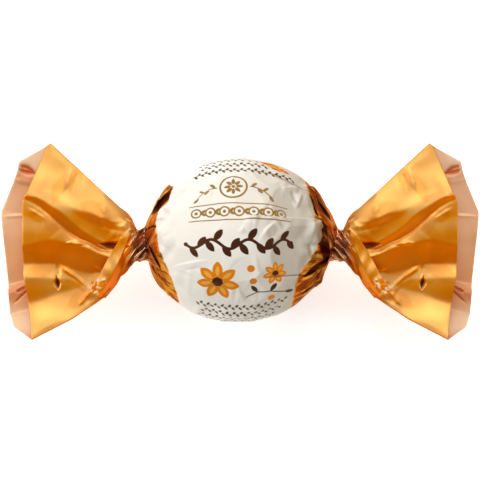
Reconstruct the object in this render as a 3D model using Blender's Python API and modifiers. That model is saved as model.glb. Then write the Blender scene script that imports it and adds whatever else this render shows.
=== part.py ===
"""A chocolate truffle shut in a twisted wrapper, as one closed body.

The wrapped truffle lies on a table. Its long axis is X, the side that shows faces +Z, and the
ball rests on a small flat spot at the origin. A flat sheet of film is rolled round the ball,
gathered to a tight neck on each side, and flares beyond the neck into a flattened, open fan.
All sizes are in metres.
"""

from math import atan2, cos, hypot, pi, radians, sin, sqrt

import bmesh
import bpy
from mathutils import Matrix, Vector

# Driving dimensions.
BALL_RADIUS = 0.0145
FOOT_RADIUS = 0.0032  # the flat spot that the ball rests on
BULGE_REACH = 0.0174  # how far along X the loose film bulges beyond the ball
GATHER_X = 0.0095  # where the film begins to gather
NECK_X = 0.0186
NECK_HALF_HEIGHT = 0.0034
NECK_HALF_DEPTH = 0.0028
NECK_FILLET = 3.0  # how sharply the ball turns into the neck
APEX_HALF_HEIGHT = 0.0173  # half the fan's width at its mouth
FAN_SPREAD = 0.92  # under 1, so that the fan opens quickest at the neck
MOUTH_HALF_DEPTH = 0.0024
WALL = 0.0005
HOLLOW_START = 0.32  # the open mouth reaches in to this share of the fan's length

# How far along X the mouth's edge lies, at the four quarters of the fan.
MOUTH_X_TOP = 0.0334
MOUTH_X_BOTTOM = 0.0363
MOUTH_X_FRONT = 0.0382
MOUTH_X_BACK = 0.0421

# Folds and creases.
GATHERS = 12  # pleats round each neck
GATHER_DEPTH = 0.10  # as a share of the neck's radius
GATHER_TWIST = radians(20)  # the turn of the pleats from ball to neck
GATHER_FADE = 0.35  # the pleats are gone at this share of the fan's length
FAN_FOLDS = 9
FAN_FOLD_DEPTH = 0.0007
FACETS = 44  # flat places where the film is pressed against the ball
FACET_DEPTH = 0.0004

# How finely each stretch of the outline is divided.
TURN_STEPS = 60
BALL_STEPS = 24
NECK_STEPS = 2
FAN_STEPS = 9
HOLLOW_STEPS = 6

FILM_COLOUR = (0.82, 0.40, 0.07, 1.0)
FILM_ROUGHNESS = 0.34
FILM_METALLIC = 0.55
SHARP_EDGE = radians(35)
ROUNDING = 1e-7  # what a stored position may be off by


def clear_scene():
    """Start from an empty scene."""
    for thing in list(bpy.data.objects):
        bpy.data.objects.remove(thing, do_unlink=True)


def mix(start, end, share):
    """The value a given share of the way from start to end."""
    return start + (end - start) * share


def smooth_share(value, low, high):
    """0 below low, 1 above high, and an easy rise between them."""
    share = min(max((value - low) / (high - low), 0.0), 1.0)
    return share * share * (3.0 - 2.0 * share)


def fan_share(x):
    """How far along its fan a place is: 0 at the neck and 1 at the mouth."""
    return max(abs(x) - NECK_X, 0.0) / (MOUTH_X_FRONT - NECK_X)


def fan_half_height(share):
    """Half the fan's width, which opens quickly at the neck and then runs nearly straight."""
    return mix(NECK_HALF_HEIGHT, APEX_HALF_HEIGHT, share**FAN_SPREAD)


def fan_half_depth(share):
    """Half the thickness of the flattened fan, from front sheet to back sheet."""
    return mix(NECK_HALF_DEPTH, MOUTH_HALF_DEPTH, smooth_share(share, 0.0, GATHER_FADE))


def ball_radius(x):
    """The film's radius over the ball, which bulges and then closes to the neck."""
    ball = BALL_RADIUS * sqrt(max(1.0 - (x / BULGE_REACH) ** 2, 0.0))
    return (ball**NECK_FILLET + NECK_HALF_HEIGHT**NECK_FILLET) ** (1.0 / NECK_FILLET)


def ball_outline():
    """Points (x, radius) over the ball, from just inside the right neck to the left one."""
    places = [mix(NECK_X, BULGE_REACH, (step + 1) / NECK_STEPS) for step in range(NECK_STEPS)]
    for step in range(1, BALL_STEPS):
        places.append(BULGE_REACH * cos(pi * step / BALL_STEPS))
    places += [-x for x in reversed(places[:NECK_STEPS])]
    return [(x, ball_radius(x)) for x in places]


def fan_outline():
    """Points (x, radius) of the right-hand fan, from the end of its hollow out and back."""
    deep_x = mix(NECK_X, MOUTH_X_FRONT, HOLLOW_START)
    points = [(deep_x, 0.0)]
    for step in range(1, HOLLOW_STEPS + 1):
        share = mix(HOLLOW_START, 1.0, step / HOLLOW_STEPS)
        x = mix(NECK_X, MOUTH_X_FRONT, share)
        points.append((x, fan_half_height(share) - WALL))
    for step in range(FAN_STEPS + 1):
        share = 1.0 - step / FAN_STEPS
        points.append((mix(NECK_X, MOUTH_X_FRONT, share), fan_half_height(share)))
    return points


def turned_body():
    """The whole outline turned about the long axis, as a mesh with its axis along X."""
    right = fan_outline()
    left = [(-x, radius) for x, radius in reversed(right)]
    outline = right + ball_outline() + left

    mesh = bpy.data.meshes.new("outline")
    points = [(radius, 0.0, x) for x, radius in outline]
    mesh.from_pydata(points, [(i, i + 1) for i in range(len(points) - 1)], [])
    profile = bpy.data.objects.new("outline", mesh)
    bpy.context.scene.collection.objects.link(profile)

    screw = profile.modifiers.new("turn", "SCREW")
    screw.axis = "Z"
    screw.angle = 2 * pi
    screw.steps = TURN_STEPS
    screw.render_steps = TURN_STEPS
    screw.use_merge_vertices = True
    screw.merge_threshold = 0.00001
    turned = bpy.data.meshes.new_from_object(
        profile.evaluated_get(bpy.context.evaluated_depsgraph_get())
    )
    bpy.data.objects.remove(profile, do_unlink=True)
    turned.transform(Matrix.Rotation(radians(90), 4, "Y"))
    return turned


def facet_directions():
    """Evenly spread directions, each the middle of a flat place on the ball."""
    golden = pi * (3.0 - sqrt(5.0))
    directions = []
    for index in range(FACETS):
        up = 1.0 - 2.0 * (index + 0.5) / FACETS
        level = sqrt(1.0 - up * up)
        directions.append(Vector((level * cos(golden * index), level * sin(golden * index), up)))
    return directions


def mouth_x(angle):
    """Where the mouth's slanted edge lies along X, at an angle round the fan."""
    mean = (MOUTH_X_TOP + MOUTH_X_BOTTOM + MOUTH_X_FRONT + MOUTH_X_BACK) / 4
    upright = (MOUTH_X_TOP - MOUTH_X_BOTTOM) / 2
    facing = (MOUTH_X_FRONT - MOUTH_X_BACK) / 2
    pointed = (MOUTH_X_TOP + MOUTH_X_BOTTOM - MOUTH_X_FRONT - MOUTH_X_BACK) / 4
    return mean + upright * cos(angle) + facing * sin(angle) + pointed * cos(2 * angle)


def pleat_height(angle, gathered):
    """The pleats' rise and fall, from -1 to 1, at an angle round the gathered film."""
    return cos(GATHERS * (angle + GATHER_TWIST * gathered))


def ball_place(point, directions):
    """A point of the ball or the gather, pressed flat in places and drawn into pleats."""
    radius = hypot(point.y, point.z)
    angle = atan2(point.z, point.y)
    gathered = smooth_share(abs(point.x), GATHER_X, NECK_X)
    radius *= 1.0 + GATHER_DEPTH * gathered * pleat_height(angle, gathered)
    squeeze = mix(1.0, NECK_HALF_DEPTH / NECK_HALF_HEIGHT, gathered)
    place = Vector((point.x, radius * cos(angle), radius * sin(angle) * squeeze))

    facet_reach = BALL_RADIUS - FACET_DEPTH
    over = max(place.dot(direction) for direction in directions) / facet_reach
    loose = smooth_share(abs(point.x), GATHER_X, BULGE_REACH)
    return place / mix(max(over, 1.0), 1.0, loose)


def fan_place(point):
    """A point of a fan, flattened, slanted at the mouth and folded from front to back."""
    radius = hypot(point.y, point.z)
    angle = atan2(point.z, point.y)
    share = fan_share(point.x)
    half_height = fan_half_height(share)
    half_depth = fan_half_depth(share)
    if radius < half_height - WALL / 2:
        half_height -= WALL
        half_depth -= WALL
    near_neck = 1.0 - smooth_share(share, 0.0, GATHER_FADE)
    radius *= 1.0 + GATHER_DEPTH * near_neck * pleat_height(angle, 1.0)

    side = 1.0 if point.x > 0 else -1.0
    fold = sin(angle) ** 2 * sin(FAN_FOLDS * angle) * FAN_FOLD_DEPTH * share
    return Vector(
        (
            side * mix(NECK_X, mouth_x(angle), share),
            radius * cos(angle),
            radius * sin(angle) * half_depth / half_height + fold * min(radius / half_height, 1.0),
        )
    )


def shape_body(mesh):
    """Turn the plain round body into the ball, the gathers and the two folded fans."""
    directions = facet_directions()
    for vertex in mesh.vertices:
        if abs(vertex.co.x) >= NECK_X - ROUNDING:
            vertex.co = fan_place(vertex.co)
        else:
            vertex.co = ball_place(vertex.co, directions)


def cut_foot(mesh):
    """Cut the flat spot under the ball and set it on the floor."""
    foot_drop = sqrt(BALL_RADIUS**2 - FOOT_RADIUS**2) - FACET_DEPTH
    shape = bmesh.new()
    shape.from_mesh(mesh)
    cut = bmesh.ops.bisect_plane(
        shape,
        geom=shape.verts[:] + shape.edges[:] + shape.faces[:],
        plane_co=(0.0, 0.0, -foot_drop),
        plane_no=(0.0, 0.0, -1.0),
        clear_outer=True,
    )
    rim = [item for item in cut["geom_cut"] if isinstance(item, bmesh.types.BMEdge)]
    bmesh.ops.edgeloop_fill(shape, edges=rim)
    bmesh.ops.triangulate(shape, faces=[face for face in shape.faces if len(face.verts) > 3])
    bmesh.ops.recalc_face_normals(shape, faces=shape.faces[:])
    bmesh.ops.translate(shape, verts=shape.verts[:], vec=(0.0, 0.0, foot_drop))
    shape.to_mesh(mesh)
    shape.free()


def film_material():
    """The satin orange film of the wrapper."""
    material = bpy.data.materials.new("wrapper_film")
    material.use_nodes = True
    shader = material.node_tree.nodes["Principled BSDF"]
    shader.inputs["Base Color"].default_value = FILM_COLOUR
    shader.inputs["Roughness"].default_value = FILM_ROUGHNESS
    shader.inputs["Metallic"].default_value = FILM_METALLIC
    return material


def build():
    """Model the wrapped truffle in its own collection."""
    clear_scene()
    parts = bpy.data.collections.new("chocolate_truffle")
    bpy.context.scene.collection.children.link(parts)

    mesh = turned_body()
    mesh.name = "wrapped_truffle"
    shape_body(mesh)
    cut_foot(mesh)
    mesh.shade_smooth()
    mesh.set_sharp_from_angle(angle=SHARP_EDGE)
    mesh.materials.append(film_material())

    body = bpy.data.objects.new("wrapped_truffle", mesh)
    parts.objects.link(body)


build()
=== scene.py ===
"""A chocolate truffle shut in a twisted film wrapper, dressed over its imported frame.

The wrapper is one sheet of metallised film: orange outside, copper pink inside, printed warm
white round the middle. It is rolled round the ball, gathered to a neck on each side, and flares
past the neck into a flattened fan. The long axis is X, and the printed side faces +Z. The
wrapper's own sizes are in millimetres, and shape_film turns them into metres.
"""

import logging
from dataclasses import dataclass
from enum import Enum
from math import cos, pi, radians, sin
from typing import Callable, Dict, List, Sequence, Tuple, Union

import bpy
import numpy as np
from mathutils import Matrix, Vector

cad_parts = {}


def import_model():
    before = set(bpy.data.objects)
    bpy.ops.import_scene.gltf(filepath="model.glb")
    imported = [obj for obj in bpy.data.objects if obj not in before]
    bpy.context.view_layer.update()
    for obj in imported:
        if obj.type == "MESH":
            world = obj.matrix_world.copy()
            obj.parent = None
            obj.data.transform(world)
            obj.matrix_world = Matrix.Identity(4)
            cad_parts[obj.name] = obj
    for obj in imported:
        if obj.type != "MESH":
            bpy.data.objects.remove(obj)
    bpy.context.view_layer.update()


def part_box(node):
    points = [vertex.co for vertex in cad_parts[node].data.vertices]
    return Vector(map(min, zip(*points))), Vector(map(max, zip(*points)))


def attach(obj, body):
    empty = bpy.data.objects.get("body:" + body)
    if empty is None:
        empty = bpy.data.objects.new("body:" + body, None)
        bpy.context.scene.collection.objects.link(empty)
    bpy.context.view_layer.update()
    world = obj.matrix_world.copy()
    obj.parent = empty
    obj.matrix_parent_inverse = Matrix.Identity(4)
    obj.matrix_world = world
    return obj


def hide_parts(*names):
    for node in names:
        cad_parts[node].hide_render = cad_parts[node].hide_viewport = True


LOG = logging.getLogger("wrapped_truffle")
MM = 0.001
NODE = "wrapped_truffle"
BODY = "root"
CAD_RADIUS = 14.44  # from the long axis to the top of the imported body, in millimetres
CREASE_END = 0.4  # how wide a crease is at its ends, as a share of its middle
LEAST_WIDTH = 0.001  # of a gap at its ends, as a share of its middle
NEARLY_NOUGHT = 1e-9  # keeps a length off nought, so that it can divide

# The film's fine crumple, and what it does to the finish.
SOFT_SCALE = 0.5  # scale of the soft creases, as a share of the sharp ones'
SHARP_SHARE = 0.35  # height of the sharp creases, as a share of the soft ones'
CLOUD_SCALE = 160.0  # clouds of gloss in a metre
LOOSE_RELIEF = 4.0  # how much the relief grows where the film is loose or carries painted glints
GAP_ROUGHNESS = 0.4  # how much rougher a deep gap is
GLINT_METAL = 0.9  # share of the metal that a painted glint loses, so that its pale colour shows

# Names of the values that a film mesh carries for its finish.
FILM_UV = "film"
# Painted shade in the film's folds, valleys, dents, hollows and between the neck's strands.
FOLD_SHADE = "fold_shade"
PINCH = "pinch"
TONE = "tone"
# Painted glints: pale, less metallic specks.
PAINTED_GLINT = "pale"
# Deep gaps, which the finish paints into dark shade.
GAP = "gap"
# Painted light and shade: how far the film turns towards a light, which makes its colour lighter or
# darker.
PAINTED_LIGHT = "facing"
PANEL = "panel"
LOOSE = "loose"
# The sides that turn down, which the loose film's finish paints into shade and gives less metal.
RIM = "rim"
PULL = "pull"

Array = np.ndarray
Value = Union[float, Array]
Point = Tuple[float, float]
Three = Tuple[float, float, float]
Row = Tuple[float, ...]
Fields = Dict[str, Array]
Socket = bpy.types.NodeSocket
Feed = Union[float, Three, Socket]


class Side(Enum):
    """The two ends of the wrapper, as the sign of X."""

    LEFT = -1
    RIGHT = 1


class Sheet(Enum):
    """The two sheets of a flattened fan, as the sign of Z."""

    BACK = -1
    FRONT = 1


class Ink(Enum):
    """The inks of the printed design, in the order they are laid."""

    GOLD = "ink_gold"
    ORANGE = "ink_orange"
    AMBER = "ink_amber"
    BROWN = "ink_brown"


# --- Shape helpers ---


def mix(start: Value, end: Value, share: Value) -> Value:
    """Return the value at a given share of the way from start to end."""
    return start + (end - start) * share


def ease(value: Value, low: float, high: float) -> Value:
    """Rise smoothly from 0 at low to 1 at high.

    Args:
        value: A number or an array.
        low: Where the rise starts.
        high: Where it ends.

    Returns:
        The eased share, with the shape of value.
    """
    share = np.clip((value - low) / (high - low), 0.0, 1.0)
    return share * share * (3.0 - 2.0 * share)


def along_points(points: Sequence[Point], place: Value) -> Value:
    """Read a line of (place, value) points, in order of place."""
    return np.interp(place, [point[0] for point in points], [point[1] for point in points])


def beyond(at: Point, reach: float, turn: float) -> Point:
    """Return the point at a distance from another, in the direction of an angle."""
    return at[0] + reach * cos(turn), at[1] + reach * sin(turn)


def unit(vectors: Array) -> Array:
    """Return vectors (n, 3) brought to a length of 1."""
    return vectors / np.maximum(np.linalg.norm(vectors, axis=1, keepdims=True), NEARLY_NOUGHT)


def rippled(waves: Sequence[Row], first: Array, second: Array) -> Array:
    """Return the sum of some waves at places given by two values.

    Args:
        waves: Height, turn for each unit of both values, and phase, of each wave.
        first: The one value.
        second: The other one.

    Returns:
        The sum at each place.
    """
    total = np.zeros_like(first)
    for height, first_turn, second_turn, phase in waves:
        total += height * np.sin(first_turn * first + second_turn * second + phase)
    return total


def ridged(turns: Array, strengths: Array, lean: float) -> Array:
    """Return sharp ridges, one for each whole number of turns, each with its own strength.

    Args:
        turns: Position across the ridges.
        strengths: Height of each ridge, repeated past its end.
        lean: Where the crest lies in its ridge, 0.5 for a symmetric one.

    Returns:
        Heights from 0 in the grooves to the ridge's own strength at its crest.
    """
    index = np.floor(turns).astype(int)
    part = turns - index
    tent = np.minimum(part / lean, (1.0 - part) / (1.0 - lean))
    return tent * strengths[index % len(strengths)]


@dataclass(frozen=True)
class Crease:
    """A short crease that lifts the film along a line in plan.

    Attributes:
        start: One end of the line.
        end: Its other end.
        height: How far the film rises at the line, or sinks if this is below 0.
        left_width: Over how much on the line's left the film comes back to its own level.
        right_width: The same on its right.
        taper: Share of the line over which the crease fades in, and out again.
        bow: How far the line bows to its left.
    """

    start: Point
    end: Point
    height: float
    left_width: float
    right_width: float
    taper: float = 0.25
    bow: float = 0.0

    def lift(self, x: Array, y: Array) -> Array:
        """Return how far this crease lifts the film at places in plan."""
        run_x, run_y = self.end[0] - self.start[0], self.end[1] - self.start[1]
        length = np.hypot(run_x, run_y)
        off_x, off_y = x - self.start[0], y - self.start[1]
        along = (off_x * run_x + off_y * run_y) / length**2
        across = (run_x * off_y - run_y * off_x) / length
        across -= 4.0 * self.bow * np.clip(along * (1.0 - along), 0.0, 1.0)
        width = np.where(across > 0, self.left_width, self.right_width)
        fade = ease(along, 0.0, self.taper) * ease(1.0 - along, 0.0, self.taper)
        return self.height * self.profile(np.abs(across) / width, fade)

    def profile(self, off: Array, fade: Array) -> Array:
        """Return the share of the height at a share of the width off the line."""
        return np.clip(1.0 - off / mix(CREASE_END, 1.0, fade), 0.0, 1.0) * fade


@dataclass(frozen=True)
class Gap(Crease):
    """A crease that narrows to a point at both ends, with soft sides."""

    def profile(self, off: Array, fade: Array) -> Array:
        """Return the share of the height at a share of the width off the line."""
        return ease(1.0 - off / np.maximum(fade, LEAST_WIDTH), 0.0, 1.0) * fade**0.5


def lifted(creases: Sequence[Crease], x: Array, y: Array) -> Array:
    """Return the sum of all the creases' lifts at places in plan."""
    total = np.zeros_like(x)
    for crease in creases:
        total += crease.lift(x, y)
    return total


@dataclass(frozen=True)
class Scatter:
    """Small creases scattered over a rectangle, as handled film has them.

    Attributes:
        seed: Of the random draws.
        count: How many creases there are.
        centre: The rectangle's middle in plan.
        half_size: Half its size both ways.
        length: Least and greatest length of a crease.
        height: Least and greatest height.
        width: Least and greatest width on each side.
        taper: Share of each crease over which it fades in, and out again.
        bow: Greatest bow, as a share of the length.
    """

    seed: int
    count: int
    centre: Point
    half_size: Point
    length: Point
    height: Point
    width: Point
    taper: float = 0.45
    bow: float = 0.16

    def creases(self) -> Tuple[Crease, ...]:
        """Draw the creases, the same ones each time."""
        draw = np.random.default_rng(self.seed)
        found = []
        for _ in range(self.count):
            x = self.centre[0] + draw.uniform(-1, 1) * self.half_size[0]
            y = self.centre[1] + draw.uniform(-1, 1) * self.half_size[1]
            turn = draw.uniform(0, 2 * pi)
            run = draw.uniform(*self.length)
            end = beyond((x, y), run, turn)
            height = draw.uniform(*self.height)
            left, right = draw.uniform(*self.width, 2)
            bow = draw.uniform(-self.bow, self.bow) * run
            found.append(Crease((x, y), end, height, left, right, self.taper, bow))
        return tuple(found)


# --- Mesh helpers ---


def only(piece: bpy.types.Object) -> None:
    """Make one object the selected and active one."""
    bpy.ops.object.select_all(action="DESELECT")
    piece.select_set(True)
    bpy.context.view_layer.objects.active = piece


def flat_film(name: str, columns: int, rows: int) -> bpy.types.Object:
    """Lay out a flat unit sheet of film, ready to be rolled and folded.

    Args:
        name: Name of the piece.
        columns: Divisions along X.
        rows: Divisions along Y.

    Returns:
        The sheet, from 0 to 1 both ways in its own UV map.
    """
    bpy.ops.object.select_all(action="DESELECT")
    bpy.ops.mesh.primitive_grid_add(
        x_subdivisions=columns, y_subdivisions=rows, size=1.0, calc_uvs=True
    )
    sheet = bpy.context.object
    sheet.name = name
    sheet.data.name = name
    sheet.data.uv_layers[0].name = FILM_UV
    return sheet


def shape_film(
    sheet: bpy.types.Object, lift: float, shape: Callable[[Array, Array], Tuple[Array, Fields]]
) -> None:
    """Move each point of a flat sheet to its place.

    Args:
        sheet: A sheet as flat_film leaves it.
        lift: Height of the long axis above the floor, in metres.
        shape: Takes shares along and across the sheet, and gives places (n, 3) about the ball's
            middle in millimetres, and the values that the finish reads.
    """
    mesh = sheet.data
    flat = np.empty(len(mesh.vertices) * 3)
    mesh.vertices.foreach_get("co", flat)
    flat = flat.reshape(-1, 3) + 0.5
    places, fields = shape(np.clip(flat[:, 0], 0, 1), np.clip(flat[:, 1], 0, 1))
    places = places * MM
    places[:, 2] += lift
    mesh.vertices.foreach_set("co", places.ravel())
    for name, values in fields.items():
        kind, key = ("FLOAT", "value") if values.ndim == 1 else ("FLOAT_VECTOR", "vector")
        mesh.attributes.new(name, kind, "POINT").data.foreach_set(key, values.ravel())
    mesh.update()


def close_seams(piece: bpy.types.Object, gap: float = 0.002 * MM) -> None:
    """Join the points that meet where a sheet is rolled up."""
    only(piece)
    bpy.ops.object.mode_set(mode="EDIT")
    bpy.ops.mesh.select_all(action="SELECT")
    bpy.ops.mesh.remove_doubles(threshold=gap)
    bpy.ops.object.mode_set(mode="OBJECT")


def face_out(piece: bpy.types.Object, centre: Vector, stride: int = 50) -> None:
    """Turn all of a rolled sheet's faces over if they point towards its middle.

    Args:
        piece: A sheet whose faces all agree.
        centre: A place inside the roll.
        stride: How many faces to step over between the ones that are asked.
    """
    mesh = piece.data
    outward = 0.0
    for index in range(0, len(mesh.polygons), stride):
        face = mesh.polygons[index]
        outward += face.normal.dot(face.center - centre)
    if outward < 0:
        mesh.flip_normals()


def mark_painted_light(piece: bpy.types.Object, towards: Three, low: float, high: float) -> None:
    """Store how far each point of a sheet turns towards a direction, from which its finish paints
    light and shade.

    Args:
        piece: The sheet, whose colour carries painted light and shade by its turn.
        towards: The direction.
        low: The turn, as a sine, up to which the value is 0.
        high: The turn from which it is 1.
    """
    mesh = piece.data
    normals = np.empty(len(mesh.vertices) * 3)
    mesh.vertex_normals.foreach_get("vector", normals)
    facing = ease(normals.reshape(-1, 3) @ np.array(towards), low, high)
    mesh.attributes.new(PAINTED_LIGHT, "FLOAT", "POINT").data.foreach_set("value", facing)


def thicken(piece: bpy.types.Object, thickness: float, inner_slot: int) -> None:
    """Give a sheet its thickness on the inner side.

    Args:
        piece: The sheet.
        thickness: Of the film, in millimetres.
        inner_slot: Material slot of the inner side, and of the cut edge.
    """
    only(piece)
    wall = piece.modifiers.new("wall", "SOLIDIFY")
    wall.thickness = thickness * MM
    wall.offset = -1.0
    wall.material_offset = inner_slot
    wall.material_offset_rim = inner_slot
    bpy.ops.object.modifier_apply(modifier=wall.name)


def dress(piece: bpy.types.Object, *materials: bpy.types.Material) -> None:
    """Give a piece its materials, the first one on the faces that it has."""
    for material in materials:
        piece.data.materials.append(material)


def finish_piece(piece: bpy.types.Object) -> None:
    """Shade a film piece smooth and hand it to the frame."""
    piece.data.shade_smooth()
    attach(piece, BODY)
    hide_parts(NODE)
    LOG.info("%s: %d faces", piece.name, len(piece.data.polygons))


# --- The printed design, as distances inside its shapes in millimetres of film ---


def dot(u: Array, v: Array, at: Point, radius: float) -> Array:
    """Return the distance inside a round dot."""
    return radius - np.hypot(u - at[0], v - at[1])


def ring(u: Array, v: Array, at: Point, radius: float, half_line: float) -> Array:
    """Return the distance inside a ring's line."""
    return half_line - np.abs(np.hypot(u - at[0], v - at[1]) - radius)


def leaf(u: Array, v: Array, at: Point, length: float, width: float, turn: float) -> Array:
    """Return the distance inside a pointed leaf.

    Args:
        u: Places along the wrapper.
        v: Places across it.
        at: The leaf's middle.
        length: From tip to tip.
        width: Across its middle.
        turn: Angle of its length.

    Returns:
        Distance inside, below 0 outside.
    """
    off_u, off_v = u - at[0], v - at[1]
    along = off_u * cos(turn) + off_v * sin(turn)
    across = np.abs(off_v * cos(turn) - off_u * sin(turn))
    radius = (length**2 + width**2) / (4 * width)
    return radius - np.hypot(along, across + radius - width / 2)


def stroke(u: Array, v: Array, points: Sequence[Point], half_line: float) -> Array:
    """Return the distance inside a line drawn through points."""
    nearest = np.full_like(u, np.inf)
    for (start_u, start_v), (end_u, end_v) in zip(points, points[1:]):
        run_u, run_v = end_u - start_u, end_v - start_v
        share = ((u - start_u) * run_u + (v - start_v) * run_v) / (run_u**2 + run_v**2)
        share = np.clip(share, 0.0, 1.0)
        off = np.hypot(u - start_u - share * run_u, v - start_v - share * run_v)
        nearest = np.minimum(nearest, off)
    return half_line - nearest


def blossom(u: Array, v: Array, at: Point, petals: int, reach: float, petal: Point) -> Array:
    """Return the distance inside a ring of petals.

    Args:
        u: Places along the wrapper.
        v: Places across it.
        at: The blossom's middle.
        petals: How many.
        reach: From the blossom's middle to each petal's middle.
        petal: A petal's length and width.

    Returns:
        Distance inside, below 0 outside.
    """
    found = []
    for index in range(petals):
        turn = 2 * pi * index / petals + pi / 2
        found.append(leaf(u, v, beyond(at, reach, turn), petal[0], petal[1], turn))
    return np.maximum.reduce(found)


@dataclass(frozen=True)
class Design:
    """The plain ornament on the white band: a medallion, a rule, a vine, blossoms and leaf rows.

    A leaf is given by its length, its width and its turn, and a ring by its radius and half the
    width of its line.

    Attributes:
        medallion: Middle of the gold medallion.
        medallion_ring: The ring round it.
        medallion_petals: How many petals it has, how far out, their length and their width.
        stem: The stem on each side of it: where it starts, its step from point to point, how
            it droops, and how many points it has.
        stem_leaf: A leaf on that stem, and how far it is shifted along.
        rule_v: Where the gold rule lies across the wrapper.
        rule_half: Half its length.
        rule_gap: From its middle to the line on each side.
        rule_pitch: From ring to ring along it, three on each side of the middle one.
        rule_ring: One of those rings.
        rule_leaf: A leaf between two rings, and how far it lies above or below the middle.
        eye: Radius of the dot in each gold ring.
        vine_v: Where the brown vine lies.
        vine_ends: Where the vine starts and ends along the wrapper.
        vine_wave: How far it swings, and over what length.
        vine_leaf: One of its leaves, and how far its middle lies from the stem.
        vine_leaves: How many leaves it has, and how far from each end they start.
        vine_dots: Radius of the dot at each end.
        blossoms: Middle and size of each orange blossom.
        petals: How many petals a blossom has.
        outer_petal: At size 1, how far out a petal's middle lies, its length and its width.
        inner_petal: The same for its lighter heart.
        blossom_eye: Radius of its dark middle at size 1.
        sprig: Points of the brown sprig.
        sprig_turns: The turn of the leaf at each point but the first.
        sprig_leaf: Length and width of these leaves.
        berries: Middles of the orange berries.
        berry: Radius of a berry.
        spray_rows: Where the rows of small leaves lie, each with its two ends.
        spray_inset: From a row's start to its first leaf.
        spray_pitch: From leaf to leaf.
        spray_leaf: A small leaf, and how far its middle lies along and across the row.
        vine_line: Half the width of the vine.
        fine_line: Half the width of the stems.
        thin_line: Half the width of the gold rule's lines.
        spray_line: Half the width of the rows' lines.
    """

    medallion: Point = (-1.0, 9.9)
    medallion_ring: Point = (2.3, 0.17)
    medallion_petals: Row = (8, 1.05, 1.3, 0.62)
    stem: Row = (2.9, 0.5, 0.035, 9)
    stem_leaf: Row = (1.35, 0.55, 0.7, 0.2)
    rule_v: float = 5.0
    rule_half: float = 8.8
    rule_gap: float = 1.5
    rule_pitch: float = 2.5
    rule_ring: Point = (0.82, 0.14)
    rule_leaf: Row = (1.15, 0.46, 0.7, 0.28)
    eye: float = 0.3
    vine_v: float = -0.7
    vine_ends: Point = (-9.4, 9.6)
    vine_wave: Point = (0.8, 6.4)
    vine_leaf: Row = (2.4, 1.2, radians(52), 1.15)
    vine_leaves: Row = (13, 0.8)
    vine_dots: Point = (0.42, 0.48)
    blossoms: Tuple[Three, ...] = ((-3.7, -7.6, 1.2), (6.3, -6.3, 0.72))
    petals: int = 7
    outer_petal: Three = (1.85, 2.7, 1.5)
    inner_petal: Three = (1.75, 1.7, 0.6)
    blossom_eye: float = 0.78
    sprig: Tuple[Point, ...] = ((1.2, -10.9), (3.2, -9.9), (5.4, -9.9), (8.0, -10.9))
    sprig_turns: Three = (2.2, 0.9, -0.4)
    sprig_leaf: Point = (1.9, 0.85)
    berries: Tuple[Point, ...] = ((2.0, -5.0), (2.4, -7.4), (5.6, -11.6))
    berry: float = 0.66
    spray_rows: Tuple[Three, ...] = (
        (14.4, -8.2, 9.6), (16.6, -7.0, 4.6), (18.8, -7.4, 3.4),
        (-13.4, -7.8, 8.4), (-15.6, -7.0, 7.6), (-17.8, -7.6, 6.2), (-20.0, -6.2, 7.0)
    )
    spray_inset: float = 0.4
    spray_pitch: float = 0.62
    spray_leaf: Row = (0.95, 0.46, radians(58), 0.3, 0.5)
    vine_line: float = 0.26
    fine_line: float = 0.12
    thin_line: float = 0.1
    spray_line: float = 0.09

    def inks(self, u: Array, v: Array) -> Fields:
        """Return the distance inside each ink's shapes.

        Args:
            u: Places along the wrapper, from its middle.
            v: Places across it, from its front, upwards in plan.

        Returns:
            One value for each ink's name.
        """
        return {
            Ink.GOLD.value: np.maximum(self.gold_medallion(u, v), self.gold_rule(u, v)),
            Ink.ORANGE.value: self.orange(u, v),
            Ink.AMBER.value: self.flowers(u, v, self.inner_petal),
            Ink.BROWN.value: self.brown(u, v),
        }

    def gold_medallion(self, u: Array, v: Array) -> Array:
        """Return the gold medallion and the stems beside it."""
        at = self.medallion
        petals, reach, length, width = self.medallion_petals
        shapes = [
            ring(u, v, at, *self.medallion_ring),
            blossom(u, v, at, petals, reach, (length, width)),
            dot(u, v, at, self.eye),
        ]
        start, step, droop, points = self.stem
        length, width, turn, shift = self.stem_leaf
        for side in (-1, 1):
            stem = [
                (at[0] + side * (start + step * i), at[1] - droop * i * i) for i in range(points)
            ]
            shapes.append(stroke(u, v, stem, self.fine_line))
            for i in range(1, points, 2):
                up = 1 if i % 4 == 1 else -1
                middle = (stem[i][0] + side * shift, stem[i][1] + up * width)
                shapes.append(leaf(u, v, middle, length, width, side * up * turn))
        return np.maximum.reduce(shapes)

    def gold_rule(self, u: Array, v: Array) -> Array:
        """Return the gold rule, with its rings and leaves."""
        shapes = []
        for height in (self.rule_v - self.rule_gap, self.rule_v + self.rule_gap):
            ends = [(-self.rule_half, height), (self.rule_half, height)]
            shapes.append(stroke(u, v, ends, self.thin_line))
        for i in range(-3, 4):
            middle = (i * self.rule_pitch, self.rule_v)
            shapes += [ring(u, v, middle, *self.rule_ring), dot(u, v, middle, self.eye)]
        length, width, turn, lift = self.rule_leaf
        for i in range(-3, 3):
            for up in (-1, 1):
                middle = ((i + 0.5) * self.rule_pitch, self.rule_v + lift * up)
                shapes.append(leaf(u, v, middle, length, width, turn * up))
        return np.maximum.reduce(shapes)

    def vine(self, u: float) -> Point:
        """Return the place of the vine's stem at a place along the wrapper."""
        swing, wave = self.vine_wave
        return u, self.vine_v + swing * sin(2 * pi * u / wave)

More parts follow.
